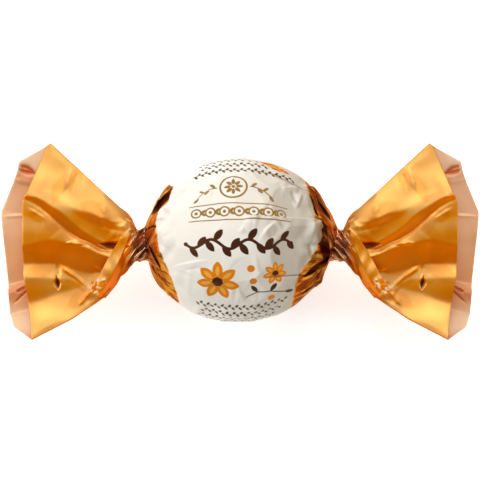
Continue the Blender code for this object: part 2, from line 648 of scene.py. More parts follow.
    def brown(self, u: Array, v: Array) -> Array:
        """Return the dark vine, the blossoms' middles, the sprig and the rows of small leaves."""
        start, end = self.vine_ends
        stem = [self.vine(at) for at in np.linspace(start, end, 61)]
        shapes = [stroke(u, v, stem, self.vine_line), stroke(u, v, self.sprig, self.fine_line)]
        for at, radius in zip(self.vine_ends, self.vine_dots):
            shapes.append(dot(u, v, self.vine(at), radius))
        length, width, lean, reach = self.vine_leaf
        leaves, inset = self.vine_leaves
        for i, at in enumerate(np.linspace(start + inset, end - inset, leaves)):
            turn = lean if i % 2 else -lean
            shapes.append(leaf(u, v, beyond(self.vine(at), reach, turn), length, width, turn))
        for at_u, at_v, size in self.blossoms:
            shapes.append(dot(u, v, (at_u, at_v), self.blossom_eye * size))
        length, width = self.sprig_leaf
        for at, turn in zip(self.sprig[1:], self.sprig_turns):
            shapes.append(leaf(u, v, beyond(at, length / 2, turn), length, width, turn))
        shapes.append(self.sprays(u, v))
        return np.maximum.reduce(shapes)

    def orange(self, u: Array, v: Array) -> Array:
        """Return the blossoms' petals and the sprig's berries."""
        berries = [dot(u, v, at, self.berry) for at in self.berries]
        return np.maximum.reduce([self.flowers(u, v, self.outer_petal), *berries])

    def flowers(self, u: Array, v: Array, petal: Three) -> Array:
        """Return one ring of petals in each blossom, given at size 1."""
        shapes = []
        for at_u, at_v, size in self.blossoms:
            reach, length, width = (size * part for part in petal)
            shapes.append(blossom(u, v, (at_u, at_v), self.petals, reach, (length, width)))
        return np.maximum.reduce(shapes)

    def sprays(self, u: Array, v: Array) -> Array:
        """Return the rows of small leaves near the band's upper and lower edges."""
        shapes = []
        length, width, lean, along, across = self.spray_leaf
        for height, start, end in self.spray_rows:
            shapes.append(stroke(u, v, [(start, height), (end, height)], self.spray_line))
            for i, at in enumerate(np.arange(start + self.spray_inset, end, self.spray_pitch)):
                turn = lean if i % 2 else -lean
                middle = (at + along * cos(turn), height + across * sin(turn))
                shapes.append(leaf(u, v, middle, length, width, turn))
        return np.maximum.reduce(shapes)


# --- Shape of the wrapper ---


@dataclass(frozen=True)
class Neck:
    """The gathered, twisted neck that the ball's cover and a fan share.

    Attributes:
        x: Distance of the narrowest place from the ball's middle.
        drop: How far the neck's middle lies below the long axis in plan.
        half_height: Half its size along Y.
        half_depth: Half its size along Z.
        twist: Turn of the strands through the neck.
        twist_from: Where the twist ends, on the fan's side.
        twist_to: Where it starts, on the ball's side.
        strands: How many strands of two sizes go round.
        strengths: Least and greatest strength of a strand.
        wander: How far the strands wander to the side, and their turns round and along.
        depths: How deep each size of strand is.
        lean: Where the crest lies in each strand.
        shadow: How strong the painted shade in the grooves is, the height at which it starts,
        and the part that the finer strands have in it.
        drawn_out: How much shorter the pull pattern runs along the axis than the film does.
        pull_radius: Radius on which the pull pattern goes round.
    """

    x: float = 18.3
    drop: float = 1.1
    half_height: float = 3.05
    half_depth: float = 2.6
    twist: float = radians(125)
    twist_from: float = 21.5
    twist_to: float = 14.5
    strands: Tuple[int, int] = (8, 15)
    strengths: Point = (0.35, 1.0)
    wander: Three = (2.0, 3.0, 0.9)
    depths: Point = (1.15, 0.45)
    lean: float = 0.36
    shadow: Three = (1.4, 0.8, 0.35)
    drawn_out: float = 0.3
    pull_radius: float = 10.0

    def turned(self, x: Array, angle: Array) -> Array:
        """Return the angle round the axis with the neck's twist taken out."""
        return angle + self.twist * ease(-np.abs(x), -self.twist_from, -self.twist_to)

    def pull(self, x: Array, angle: Array) -> Array:
        """Return places (n, 3) for patterns that are drawn out along the strands."""
        turned = self.turned(x, angle)
        round_y, round_z = self.pull_radius * np.cos(turned), self.pull_radius * np.sin(turned)
        return np.stack([self.drawn_out * x, round_y, round_z], axis=1)

    def strand_heights(self, x: Array, angle: Array) -> List[Array]:
        """Return the heights of the two sizes of strand, each from 0 to 1.

        Args:
            x: Distance from the ball's middle along the long axis.
            angle: Angle round the axis, 0 at +Y and a quarter turn at +Z.

        Returns:
            One array for each size of strand.
        """
        turned = self.turned(x, angle)
        draw = np.random.default_rng(31)
        sway, sway_round, sway_along = self.wander
        heights = []
        for count in self.strands:
            strengths = draw.uniform(*self.strengths, count)
            wander = sway * np.sin(sway_round * turned + sway_along * x) / count
            heights.append(ridged(turned / (2 * pi) * count + wander, strengths, self.lean))
        return heights

    def fold_shade(self, coarse: Array, middle: Array) -> Array:
        """Return the painted shade between the strands, from 0 to 1, by how deep a place lies."""
        strength, start, fine = self.shadow
        return np.clip(strength * (start - coarse - fine * middle), 0.0, 1.0)


@dataclass(frozen=True)
class BallCover:
    """The film over the ball, from neck to neck, as one closed piece.

    Attributes:
        axis_z: Height of the long axis above the floor, in metres.
        neck: The neck at each end.
        design: What is printed on it.
        radius: Of the ball, over the film.
        reach: Where the bulge meets the axis line, at the top and at the bottom in plan, for
            each side.
        fullness: Roundness of the bulge there.
        fillet: How sharply the ball turns into the neck.
        end_x: Where the cover closes, inside the fan.
        stations: Places along the axis at which the film's length is measured.
        columns: Divisions along the axis.
        rows: Divisions round it.
        front_share: How much closer the rows lie at the front than at the back.
        facets: How many small flats the film is pressed into.
        facet_depth: How deep they are.
        facet_stray: How far their directions stray from an even spread.
        pressed: Directions and depths of the larger flats.
        freed: Between which places along the axis the film leaves the ball's flats.
        hanging: Where it starts to hang loose.
        creased: Where its loose creases start.
        gathered: Where the loose film ends in the neck's strands.
        tight: Where the finish of the tight neck starts.
        pleat_start: Where the pleats start.
        pleat_swell: How much deeper the two sizes of pleat are before the neck.
        drop_start: Where the axis of the film begins to bend down.
        lobes: Waves round the film that hangs loose beside the band.
        upright: How far the creases lift along the axis, as a share of how far they lift out.
        panel_back: Half the white band's width at the back.
        panel_left: Points (y, x) of the white band's left edge in plan, at the front.
        panel_right: Points (y, x) of its right edge.
        panel_waver: Waves of both edges.
        notch: Where the orange film bites into the band in plan: the middle, length, width and
            turn of a leaf.
        notch_waver: Waves of its edge.
    """

    axis_z: float
    neck: Neck
    design: Design
    radius: float = 14.45
    reach: Tuple[Point, Point] = ((16.9, 16.3), (17.3, 16.0))
    fullness: Tuple[Point, Point] = ((2.0, 2.2), (1.95, 2.0))
    fillet: float = 3.0
    end_x: float = 19.4
    stations: int = 4001
    columns: int = 258
    rows: int = 380
    front_share: float = 0.4
    facets: int = 60
    facet_depth: float = 0.2
    facet_stray: float = 0.12
    pressed: Tuple[Row, ...] = (
        (0.64, -0.15, 0.75, 0.8), (0.60, 0.38, 0.70, 0.55), (-0.55, 0.55, 0.62, 0.4),
        (-0.62, -0.30, 0.72, 0.35), (0.1, -0.62, 0.78, 0.3)
    )
    freed: Point = (11.0, 15.0)
    hanging: Point = (9.5, 13.0)
    creased: Point = (11.0, 13.0)
    gathered: Point = (14.0, 16.8)
    tight: Point = (14.7, 16.6)
    pleat_start: float = 8.5
    pleat_swell: Point = (1.3, 1.2)
    drop_start: float = 12.0
    lobes: Tuple[Row, ...] = ((0.30, 7, 1.3, 0.6), (0.16, 13, -0.9, 2.1), (0.10, 19, 1.7, 4.0))
    upright: float = 0.7
    panel_back: float = 10.4
    panel_left: Tuple[Point, ...] = (
        (-14, -11.6), (-10.6, -10.6), (-8.9, -11.0), (-5.0, -12.4), (-0.9, -14.1),
        (1.4, -14.2), (2.8, -14.6), (5.3, -14.1), (7.1, -12.7), (8.3, -11.7), (9.4, -11.8),
        (9.9, -12.8), (12, -12.6)
    )
    panel_right: Tuple[Point, ...] = (
        (-12, 9.0), (-8.5, 9.4), (-6.2, 9.9), (-4.4, 11.2), (-2.6, 12.6), (-0.4, 13.7),
        (2.4, 14.0), (3.2, 13.7), (3.6, 12.9), (5.8, 12.7), (8.1, 12.0), (9.2, 11.6),
        (10.6, 11.4), (12, 10.6)
    )
    panel_waver: Tuple[Row, ...] = ((0.05, 1.9, 0.0, 0.0), (0.03, 4.3, 0.0, 1.0))
    notch: Row = (6.0, 17.6, 5.6, 2.3, radians(-24))
    notch_waver: Tuple[Row, ...] = ((0.16, 1.0, 2.6, 0.0), (0.1, -2.0, 5.9, 0.0))

    def silhouette(self, x: Array, angle: Array) -> Array:
        """Return the plain radius of the film round the axis."""
        top = 0.5 + 0.5 * np.cos(angle)
        side = (x > 0).astype(int)
        reach = mix(np.array(self.reach)[side, 1], np.array(self.reach)[side, 0], top)
        full = mix(np.array(self.fullness)[side, 1], np.array(self.fullness)[side, 0], top)
        level = np.clip(1.0 - (np.abs(x) / reach) ** full, 0.0, 1.0)
        ball = self.radius * level ** (1.0 / full)
        tall, deep = self.neck.half_height, self.neck.half_depth
        stem = tall * deep / np.hypot(deep * np.cos(angle), tall * np.sin(angle))
        return (ball**self.fillet + stem**self.fillet) ** (1.0 / self.fillet)

    def spread(self, share: Array) -> Tuple[Array, Array]:
        """Return where the film's columns stand, and how far along its surface.

        Args:
            share: Share of the film's length from neck to neck.

        Returns:
            Places along the axis, and lengths along the film from its middle.
        """
        x = np.linspace(-self.end_x, self.end_x, self.stations)
        radius = self.silhouette(x, np.full_like(x, pi / 2))
        steps = np.hypot(np.diff(x), np.diff(radius))
        length = np.concatenate([[0.0], np.cumsum(steps)])
        length -= length[-1] / 2
        along = (share * 2 - 1) * length[-1]
        return np.interp(along, length, x), along

    def creases(self) -> Tuple[Crease, ...]:
        """Return the creases of the printed side, as they lie in plan."""
        return (
            Crease((13.8, 3.3), (0.2, 4.0), 0.85, 3.2, 0.25, 0.12),
            Crease((13.9, -1.8), (13.9, 4.0), 0.2, 3.0, 0.22, 0.1),
            Crease((1.2, 4.1), (-0.4, 1.0), 0.4, 1.4, 0.3, 0.3, 0.3),
            Crease((6.4, 3.2), (3.2, -0.4), 0.45, 1.6, 0.35, 0.45, -0.5),
            Crease((3.9, 3.9), (7.2, 1.6), 0.3, 0.7, 0.5, 0.4, 0.3),
            Crease((7.0, 8.8), (10.4, 9.1), 0.26, 0.35, 1.1),
            Crease((10.7, 8.2), (9.5, 5.2), 0.26, 0.45, 1.0),
            Crease((8.8, 8.6), (9.9, 6.0), -0.16, 0.5, 0.5),
            Crease((-12.2, 8.4), (-9.2, 8.5), 0.34, 0.3, 0.8),
            Crease((-7.6, 7.5), (-4.4, 8.2), 0.14, 0.35, 0.8),
            Crease((-12.4, -4.9), (-4.4, -3.3), 0.3, 0.3, 1.6, 0.5, 0.25),
            Crease((-9.8, -5.2), (-6.4, -4.6), -0.14, 0.4, 0.4),
            Crease((-8.5, -13.0), (-5.0, -10.5), 0.2, 0.8, 1.0),
            Crease((-1.0, -9.0), (4.0, -12.5), 0.18, 1.0, 1.6),
            Crease((-4.0, -12.6), (2.0, -13.4), 0.2, 0.5, 0.9),
        )

    def gaps(self) -> Tuple[Gap, ...]:
        """Return the deep gaps where the film is pulled under itself beside the white band."""
        return (
            Gap((-11.3, 9.6), (-16.0, 4.0), -1.2, 0.6, 0.55, 0.16),
            Gap((-16.4, 1.6), (-14.2, 2.3), -0.5, 0.3, 0.3, 0.3, 0.3),
            Gap((-16.4, 0.0), (-13.2, -5.8), -1.1, 0.5, 0.45, 0.5),
            Gap((-15.9, -3.4), (-14.2, -6.6), -0.4, 0.45, 0.4, 0.4),
            Gap((4.0, 12.2), (12.4, 8.0), -0.5, 0.4, 0.35, 0.3),
            Gap((11.8, 8.6), (13.6, 3.4), -0.7, 0.4, 0.4, 0.3),
            Gap((13.7, 3.8), (15.6, -5.2), -1.5, 1.3, 1.4, 0.3),
            Gap((3.6, -6.4), (12.8, -5.9), -0.4, 0.35, 0.25, 0.3),
            Gap((10.4, -6.8), (16.6, -2.2), -1.2, 0.8, 0.9, 0.4),
            Gap((13.0, 7.6), (16.6, 2.4), -0.7, 0.4, 0.4, 0.3),
            Gap((10.0, -9.9), (13.4, -7.6), -0.5, 0.4, 0.4, 0.4),
        )

    def facet_planes(self) -> Array:
        """Return the outward directions of the places where the film is pressed flat."""
        draw = np.random.default_rng(7)
        golden = pi * (3.0 - 5.0**0.5)
        index = np.arange(self.facets)
        up = 1.0 - 2.0 * (index + 0.5) / self.facets
        level = np.sqrt(1.0 - up**2)
        turn = golden * index
        spread = np.stack([up, level * np.cos(turn), level * np.sin(turn)], axis=1)
        return unit(spread + draw.normal(0.0, self.facet_stray, spread.shape))

    def press(self, places: Array) -> Array:
        """Return how much further out each place lies than the flats that press on it."""
        outward = unit(places)
        over = np.max(outward @ self.facet_planes().T, axis=1)
        over /= 1 - self.facet_depth / self.radius
        for *direction, depth in self.pressed:
            facing = outward @ (np.array(direction) / np.linalg.norm(direction))
            over = np.maximum(over, facing / (1 - depth / self.radius))
        return np.maximum(over, 1.0)

    def shape(self, along: Array, around: Array) -> Tuple[Array, Fields]:
        """Place the rolled film's points.

        Args:
            along: Share from the left neck to the right one.
            around: Share of the turn, starting at the underside.

        Returns:
            Places (n, 3), and the values that the finish reads.
        """
        x, u = self.spread(along)
        half = around * 2 - 1
        turn = pi * half - self.front_share * np.sin(pi * half)
        angle = turn + pi / 2
        v = -turn * self.radius
        far = np.abs(x)
        near_neck = ease(far, self.pleat_start, self.neck.x)
        at_neck = ease(far, *self.gathered)
        coarse, middle = self.neck.strand_heights(far, angle)
        relief = rippled(self.lobes, angle, x) * ease(far, *self.hanging) * (1.0 - at_neck)
        for strand, depth, swell in zip((coarse, middle), self.neck.depths, self.pleat_swell):
            relief += depth * (strand - 0.5) * mix(swell * near_neck, 1.0, at_neck)

        closing = ease(far, self.neck.x, self.end_x)
        radius = (self.silhouette(x, angle) + relief) * np.sqrt(1.0 - closing**2)
        drop = self.neck.drop * ease(far, self.drop_start, self.neck.x)
        places = np.stack([x, radius * np.cos(angle) - drop, radius * np.sin(angle)], axis=1)
        places /= mix(self.press(places), 1.0, ease(far, *self.freed))[:, None]

        outward = unit(places * (self.upright, 1.0, 1.0))
        up = outward[:, 2]
        plan = places[:, 0], places[:, 1]
        band = self.panel(places, v)
        gap = lifted(self.gaps(), *plan) * ease(up, 0.12, 0.34)
        lift = lifted(self.creases(), *plan) * ease(up, 0.0, 0.25)
        lift += self.small_lift(places, outward)
        lift += self.loose_lift(places, outward) * ease(far, *self.creased)
        places += outward * (lift * (1.0 - at_neck))[:, None]
        places[:, 2] = np.maximum(places[:, 2] + gap, -self.axis_z / MM)

        # The back of the film carries the design once more.
        half_turn = pi * self.radius
        again = np.where(np.abs(v) > half_turn / 2, v - np.sign(v) * half_turn, v)
        fields = self.design.inks(u, again)
        # Painted shade: darker between the neck's strands and in the deep gaps, lighter on the
        # strands' crests.
        between = np.clip(1.35 - 0.7 * coarse - 0.4 * middle, 0.4, 1.0)
        fields.update({
            FOLD_SHADE: self.neck.fold_shade(coarse, middle) * near_neck,
            GAP: ease(-gap, 0.1, 0.5) * between,
            LOOSE: ease(-band, -0.1, 0.4) * (1.0 - at_neck),
            # The sides that turn down, which the loose film's finish paints into shade.
            RIM: 1.0 - ease(up, 0.1, 0.6),
            PULL: self.neck.pull(x, angle),
            PINCH: ease(far, *self.tight),
            PAINTED_GLINT: np.zeros_like(x),
            TONE: np.zeros_like(x),
            PANEL: band,
        })
        return places, fields

    def panel(self, places: Array, v: Array) -> Array:
        """Return the distance inside the white band's edges."""
        x, y, z = places.T
        front = ease(z, -3.0, 1.0)
        waver = rippled(self.panel_waver, v, x)
        left = x - mix(-self.panel_back, along_points(self.panel_left, y), front) + waver
        right = mix(self.panel_back, along_points(self.panel_right, y), front) - x + waver
        notch_x, notch_v, *form = self.notch
        notch = leaf(x, v, (notch_x, notch_v), *form) + rippled(self.notch_waver, v, x)
        return np.minimum(np.minimum(left, right), -notch)

    def small_lift(self, places: Array, outward: Array) -> Array:
        """Return the lift of the small scattered creases over the whole ball."""
        total = np.zeros(len(places))
        # The two axes that each view of the ball spans, the axis it looks along, and which way.
        views = ((0, 1, 2, 1), (0, 1, 2, -1), (0, 2, 1, 1), (0, 2, 1, -1))
        for seed, (first, second, facing, sign) in enumerate(views):
            weight = ease(outward[:, facing] * sign, 0.35, 0.7)
            scatter = Scatter(
                50 + seed, 44, (0.0, 0.0), (13.0, 13.0), (3.0, 8.0), (-0.1, 0.2), (0.2, 0.9)
            )
            total += weight * lifted(scatter.creases(), places[:, first], places[:, second])
        return total

    def loose_lift(self, places: Array, outward: Array) -> Array:
        """Return the lift of the deeper creases where the film hangs loose beside the band."""
        total = np.zeros(len(places))
        # Left and right of the front, and then of the back.
        for seed, (sign, facing) in enumerate(((-1, 1), (1, 1), (-1, -1), (1, -1))):
            weight = ease(outward[:, 2] * facing, 0.0, 0.25) * (places[:, 0] * sign > 0)
            scatter = Scatter(
                70 + seed, 30, (13.6 * sign, 0.0), (2.0, 10.0), (2.0, 6.0), (-0.6, 0.5), (0.4, 1.1)
            )
            total += weight * lifted(scatter.creases(), places[:, 0], places[:, 1])
        return total

    def build(self, material: bpy.types.Material) -> bpy.types.Object:
        """Model the cover and dress it."""
        cover = flat_film("ball_cover", self.columns, self.rows)
        shape_film(cover, self.axis_z, self.shape)
        close_seams(cover)
        face_out(cover, Vector((0, 0, self.axis_z)))
        # Painted light and shade: the band is lighter where it turns left and up, darker and warmer
        # where it turns away.
        mark_painted_light(cover, (-0.8, 0.0, 0.4), -0.6, 0.5)
        dress(cover, material)
        finish_piece(cover)
        return cover


@dataclass(frozen=True)
class Fold:
    """A fold of a fan's sheet that runs from the neck to the mouth.

    Attributes:
        line: Points (x, y, z) about the ball's middle, from the neck out on the left.
        rounding: How soft the fold is.
    """

    line: Tuple[Three, ...]
    rounding: float = 0.2

    def at(self, x: Array, part: int) -> Array:
        """Return the fold's y, which is part 1, or its z, which is part 2."""
        return along_points([(-point[0], point[part]) for point in self.line], -x)


@dataclass(frozen=True)
class Edge:
    """The folded upper or lower edge of a fan, where its two sheets meet.

    Attributes:
        z: Points (x, z) of the edge's height, from the neck out, with x above 0.
        front_rim: Width of the front sheet's round rim, and its rise above the edge.
        back_rim: The same for the back sheet.
    """

    z: Tuple[Point, ...]
    front_rim: Point
    back_rim: Point


def bent(
    knots: Sequence[Array], levels: Sequence[Array], rounds: Sequence[float], y: Array
) -> Array:
    """Return the height of a sheet that runs straight from fold to fold.

    Args:
        knots: Where each fold lies, from the lower edge to the upper one.
        levels: The height of each fold.
        rounds: How soft each fold is.
        y: Where the height is wanted.

    Returns:
        The height above the fan's middle plane.
    """
    last = len(knots) - 1
    slopes = [(levels[i + 1] - levels[i]) / (knots[i + 1] - knots[i]) for i in range(last)]

    def line(at: Array) -> Array:
        """Return the folded line before its ends are set to their levels."""
        total = (slopes[0] + slopes[-1]) / 2 * at
        for i in range(1, last):
            soft = np.hypot(at - knots[i], rounds[i])
            total = total + (slopes[i] - slopes[i - 1]) / 2 * soft
        return total

    share = (y - knots[0]) / (knots[-1] - knots[0])
    off = mix(line(knots[0]) - levels[0], line(knots[-1]) - levels[-1], share)
    return line(y) - off


@dataclass(frozen=True)
class Fan:
    """A flared, flattened and folded end of the wrapper.

    Places in plan are those of the left fan. The right one is its mirror image.

    Attributes:
        side: The end of the wrapper that it is on.
        axis_z: Height of the long axis above the floor, in metres.
        neck: The neck that it starts from.
        thickness: Of the film.
        columns: Divisions along the fan.
        rows: Divisions round it.
        crowding: Over 1, so that the columns lie closer near the neck.
        upper_bulge: Points (share of the length, bulge) of how far the upper edge lies past a
            straight line.
        lower_bulge: The same for the lower edge.
        front_mouth: Points of the front sheet's free edge in plan, from bottom to top.
        back_mouth: Points of the back sheet's free edge.
        front_folds: Folds of the front sheet, from bottom to top.
        back_folds: Folds of the back sheet.
        lower_edge: The fan's lower edge.
        upper_edge: Its upper edge.
        rim_round: How soft the rims of both edges are.
        fold_gap: Least distance from fold to fold.
        waver: How far the folds stray across the sheet, and how far in height.
        settled: Share of the length at which the neck's oval has become the folded sheet.
        fades: Share of the length over which the neck's coarse strands, its finer ones and the
        painted shade in their grooves die away.
        pinched: How far the tight pinch of the neck reaches, from the lower edge to the upper.
        valley_reach: How far the neighbours lie across, between which a valley is measured.
        valley_depth: How far below them a valley is when its painted shade is at its darkest.
        painted_glint_spot: Middle of the painted glint spot in plan, and its spread.
        tones: Middle, length, width and turn of each faint leaf printed on the film.
        waves: The soft swell of the film between its folds.
    """

    side: Side
    axis_z: float
    neck: Neck
    thickness: float = 0.05
    columns: int = 126
    rows: int = 388
    crowding: float = 1.15
    upper_bulge: Tuple[Point, ...] = ((0, 0), (0.05, 0.9), (0.11, 1.08), (0.2, 0.945), (1, 0))
    lower_bulge: Tuple[Point, ...] = (
        (0, 0), (0.066, -0.21), (0.12, 0.42), (0.225, 0.588), (0.29, 1.932), (0.62, 1.512), (1, 0)
    )
    front_mouth: Tuple[Point, ...] = (
        (-36.4, -17.5), (-36.7, -14.2), (-37.4, -9.6), (-38.1, -5.8), (-38.2, -2.0),
        (-38.2, 6.7), (-37.4, 8.3), (-34.1, 16.6), (-33.4, 17.1)
    )
    back_mouth: Tuple[Point, ...] = (
        (-36.4, -17.5), (-39.9, -15.4), (-40.9, -13.2), (-41.4, -7.0), (-42.5, 3.7), (-42.5, 5.1),
        (-39.6, 12.0), (-39.2, 13.9), (-33.4, 17.1)
    )
    front_folds: Tuple[Fold, ...] = (
        Fold(((-19.8, -4.1, 0.9), (-21.2, -5.5, 0.8), (-22.9, -7.2, 0.8), (-25.2, -9.7, 0.95),
             (-26.5, -10.4, 1.0), (-28.2, -8.5, 0.95), (-30.0, -8.8, 1.05), (-31.7, -9.3, 1.28),
             (-34.3, -10.4, 1.55), (-38.0, -11.2, 1.95)), 0.4),
        Fold(((-19.7, -3.5, 1.1), (-21.2, -4.6, 1.05), (-22.9, -6.2, 1.05), (-25.2, -8.8, 1.1),
             (-26.4, -9.7, 1.15), (-28.2, -7.8, 1.12), (-30.0, -6.9, 1.2), (-32.6, -6.9, 1.45),
             (-35.2, -6.7, 1.85), (-37.9, -6.5, 2.22)), 0.22),
        Fold(((-19.7, -2.8, 1.4), (-23.3, -4.4, 1.05), (-24.7, -5.6, 0.8), (-26.1, -5.8, 0.75),
             (-28.2, -5.4, 0.78), (-30.0, -4.9, 0.82), (-31.8, -4.2, 0.9), (-33.5, -4.0, 1.0),
             (-36.1, -4.1, 1.4), (-38.0, -4.2, 1.68)), 0.2),
        Fold(((-19.7, -2.5, 1.6), (-23.3, -3.9, 1.3), (-26.1, -5.2, 0.88), (-31.7, -3.9, 0.98),
             (-33.5, -3.5, 1.12), (-35.2, -2.9, 1.6), (-38.0, -2.0, 2.05)), 0.35),
        Fold(((-19.7, -1.9, 2.0), (-22.5, -3.0, 1.6), (-24.6, -2.4, 1.8), (-27.2, -1.3, 2.02),
             (-29.9, -0.5, 2.1), (-33.4, -0.1, 2.3), (-37.9, -0.9, 2.5)), 0.25),
        Fold(((-19.7, -1.3, 1.8), (-22.6, -2.3, 1.1), (-24.7, -1.8, 1.4), (-26.4, -0.9, 1.68),
             (-28.1, -0.2, 1.8), (-29.5, 0.6, 1.9), (-31.6, 2.4, 2.0), (-33.5, 4.0, 2.2),
             (-36.8, 6.3, 2.46), (-37.9, 6.8, 2.45)), 0.2),
        Fold(((-19.7, -1.1, 1.8), (-21.5, -1.4, 1.0), (-22.6, -1.9, 0.8), (-24.7, -1.5, 1.1),
             (-26.4, -0.5, 1.35), (-28.2, 0.2, 1.55), (-30.8, 1.9, 1.7), (-32.5, 3.4, 1.9),
             (-35.1, 5.8, 2.17), (-36.9, 6.9, 2.33), (-37.9, 7.3, 2.36)), 0.13),
        Fold(((-19.7, 0.2, 1.95), (-21.1, 0.1, 1.62), (-22.5, -0.3, 1.62), (-23.8, -0.5, 1.7),
             (-24.6, -0.2, 1.78), (-26.4, 0.8, 1.98), (-28.1, 1.9, 2.26), (-29.5, 3.0, 2.5),
             (-31.6, 5.0, 2.68), (-34.7, 7.0, 2.72), (-35.9, 7.6, 2.74), (-37.9, 7.7, 2.7)), 0.14),
        Fold(((-19.7, 1.8, 1.88), (-21.1, 1.5, 1.7), (-22.9, 1.9, 1.74), (-24.6, 2.7, 1.9),
             (-26.4, 3.4, 2.05), (-27.7, 3.9, 2.24), (-29.5, 4.7, 2.46), (-31.6, 6.7, 2.6),
             (-37.9, 8.6, 2.62)), 0.22),
        Fold(((-19.7, 2.3, 2.05), (-21.1, 2.6, 2.1), (-22.8, 3.3, 2.25), (-24.6, 3.9, 2.38),
             (-26.3, 4.7, 2.42), (-28.1, 5.1, 2.44), (-29.5, 5.6, 2.44), (-31.6, 7.4, 2.48),
             (-37.9, 9.3, 2.46)), 0.3),
        Fold(((-19.7, 3.7, 1.6), (-24.6, 7.0, 1.62), (-28.2, 9.9, 1.6), (-31.7, 12.2, 1.42),
             (-35.2, 13.6, 1.3), (-38.1, 14.4, 1.3)), 0.8),
    )
    back_folds: Tuple[Fold, ...] = (
        Fold(((-18.3, -2.9, -1.6), (-30.0, -9.4, -1.5), (-42.0, -14.0, -1.7)), 0.3),
        Fold(((-18.3, -2.2, -2.0), (-30.0, -6.4, -1.4), (-42.0, -9.5, -1.1)), 0.3),
        Fold(((-18.3, -1.9, -2.2), (-30.0, -5.3, -2.6), (-42.0, -8.3, -2.4)), 0.3),
        Fold(((-18.3, -0.9, -2.6), (-30.0, -0.5, -2.0), (-42.0, 0.7, -1.7)), 0.7),
        Fold(((-18.3, 0.1, -2.5), (-30.0, 2.9, -2.3), (-42.0, 5.4, -2.1)), 0.15),
        Fold(((-18.3, 0.8, -2.0), (-30.0, 6.1, -1.6), (-42.0, 11.2, -1.5)), 0.3),
        Fold(((-18.3, 1.3, -1.8), (-30.0, 7.4, -1.2), (-42.0, 12.6, -0.7)), 0.3),
    )
    lower_edge: Edge = Edge(
        ((18.3, 0.0), (24.8, 1.15), (28.3, 1.75), (31.9, 2.6), (36.3, 3.55)),
        (0.07, 0.03), (0.8, -1.6)
    )
    upper_edge: Edge = Edge(
        ((18.3, 0.0), (20.0, 0.75), (24.0, 1.15), (30.0, 1.0), (36.3, 0.7)),
        (0.07, 0.03), (0.8, -1.2)
    )
    rim_round: float = 0.07
    fold_gap: float = 0.14
    waver: Point = (0.12, 0.05)
    settled: float = 0.24
    fades: Three = (0.16, 0.07, 0.10)
    pinched: Tuple[Point, ...] = ((-1.0, 1.7), (-0.1, 1.0), (0.3, 0.9), (1.0, 0.35))
    valley_reach: float = 0.14
    valley_depth: float = 0.8
    painted_glint_spot: Three = (-25.6, -8.6, 1.6)
    tones: Tuple[Row, ...] = (
        (-31.9, 9.0, 5.6, 2.2, 1.2), (-29.0, 10.9, 5.6, 2.2, 1.2), (-25.2, 4.8, 6.6, 3.6, 2.6),
        (-31.6, 2.2, 7.0, 4.0, 2.6), (-29.0, -4.4, 7.0, 3.4, 2.7), (-35.4, -5.6, 6.6, 3.2, 0.6),
        (-28.2, -10.2, 5.6, 2.8, 0.7), (-25.0, -3.0, 5.0, 2.6, 2.2)
    )
    waves: Tuple[Row, ...] = (
        (0.06, 0.55, 0.35, 0.4), (0.05, -0.3, 0.7, 1.9), (0.035, 0.9, -0.5, 0.7),
        (0.025, 0.25, 1.3, 2.6)
    )

    def mouth(self, sheet: Sheet, across: Array) -> Tuple[Array, Array]:
        """Return where the mouth's edge lies in plan, for shares across."""
        outline = self.front_mouth if sheet is Sheet.FRONT else self.back_mouth
        x = np.array([point[0] for point in outline])
        y = np.array([point[1] for point in outline])
        share = 2.0 * (y - y[0]) / (y[-1] - y[0]) - 1.0
        return np.interp(across, share, x), np.interp(across, share, y)

    def plan(self, sheet: Sheet, along: Array, across: Array) -> Tuple[Array, Array]:
        """Return where a sheet's points lie in plan."""
        mouth_x, mouth_y = self.mouth(sheet, across)
        x = mix(-self.neck.x, mouth_x, along)
        y = mix(self.neck.half_height * across - self.neck.drop, mouth_y, along)
        y += along_points(self.upper_bulge, along) * np.clip(across, 0, 1) ** 2
        y -= along_points(self.lower_bulge, along) * np.clip(-across, 0, 1) ** 2
        return x, y

    def creases(self) -> Tuple[Crease, ...]:
        """Return the creases of the front sheet that cross its folds, as they lie in plan."""
        return (
            Crease((-32.2, -4.2), (-26.6, -8.8), 0.16, 0.5, 0.4, 0.3, 0.3),
            Crease((-31.8, -4.6), (-28.8, -6.8), 0.14, 0.25, 0.4, 0.4),
            Crease((-31.0, -0.6), (-28.4, -0.2), 0.15, 0.2, 0.4, 0.4),
            Crease((-30.2, -0.8), (-26.4, -0.7), 0.15, 0.25, 0.45, 0.4, 0.2),
            Crease((-29.6, 13.2), (-31.2, 8.2), 0.12, 0.9, 0.35, 0.4),
            Crease((-28.3, 12.8), (-29.6, 8.4), -0.08, 0.5, 0.5, 0.4),
            Crease((-28.4, -11.6), (-26.4, -9.0), 0.2, 0.8, 0.5, 0.3),
            Crease((-32.2, -3.8), (-31.8, -7.2), -0.22, 0.6, 0.7, 0.4),
            Crease((-37.6, 5.9), (-33.6, 3.4), 0.12, 0.35, 1.3, 0.4),
        )

    def hollows(self) -> Tuple[Gap, ...]:
        """Return the hollows where the film is pulled in and lies in shade, which is also painted
        into its colour.
        """
        return (
            Gap((-25.4, -0.6), (-18.8, -1.2), -1.0, 0.7, 1.1, 0.4),
            Gap((-24.6, -6.8), (-21.6, -2.6), -0.35, 0.5, 0.5, 0.4),
        )

    def pinch(self) -> Gap:
        """Return the small deep pinch in the lower part of the front sheet."""
        return Gap((-32.4, -6.2), (-31.9, -9.0), -0.9, 0.6, 0.7, 0.5)

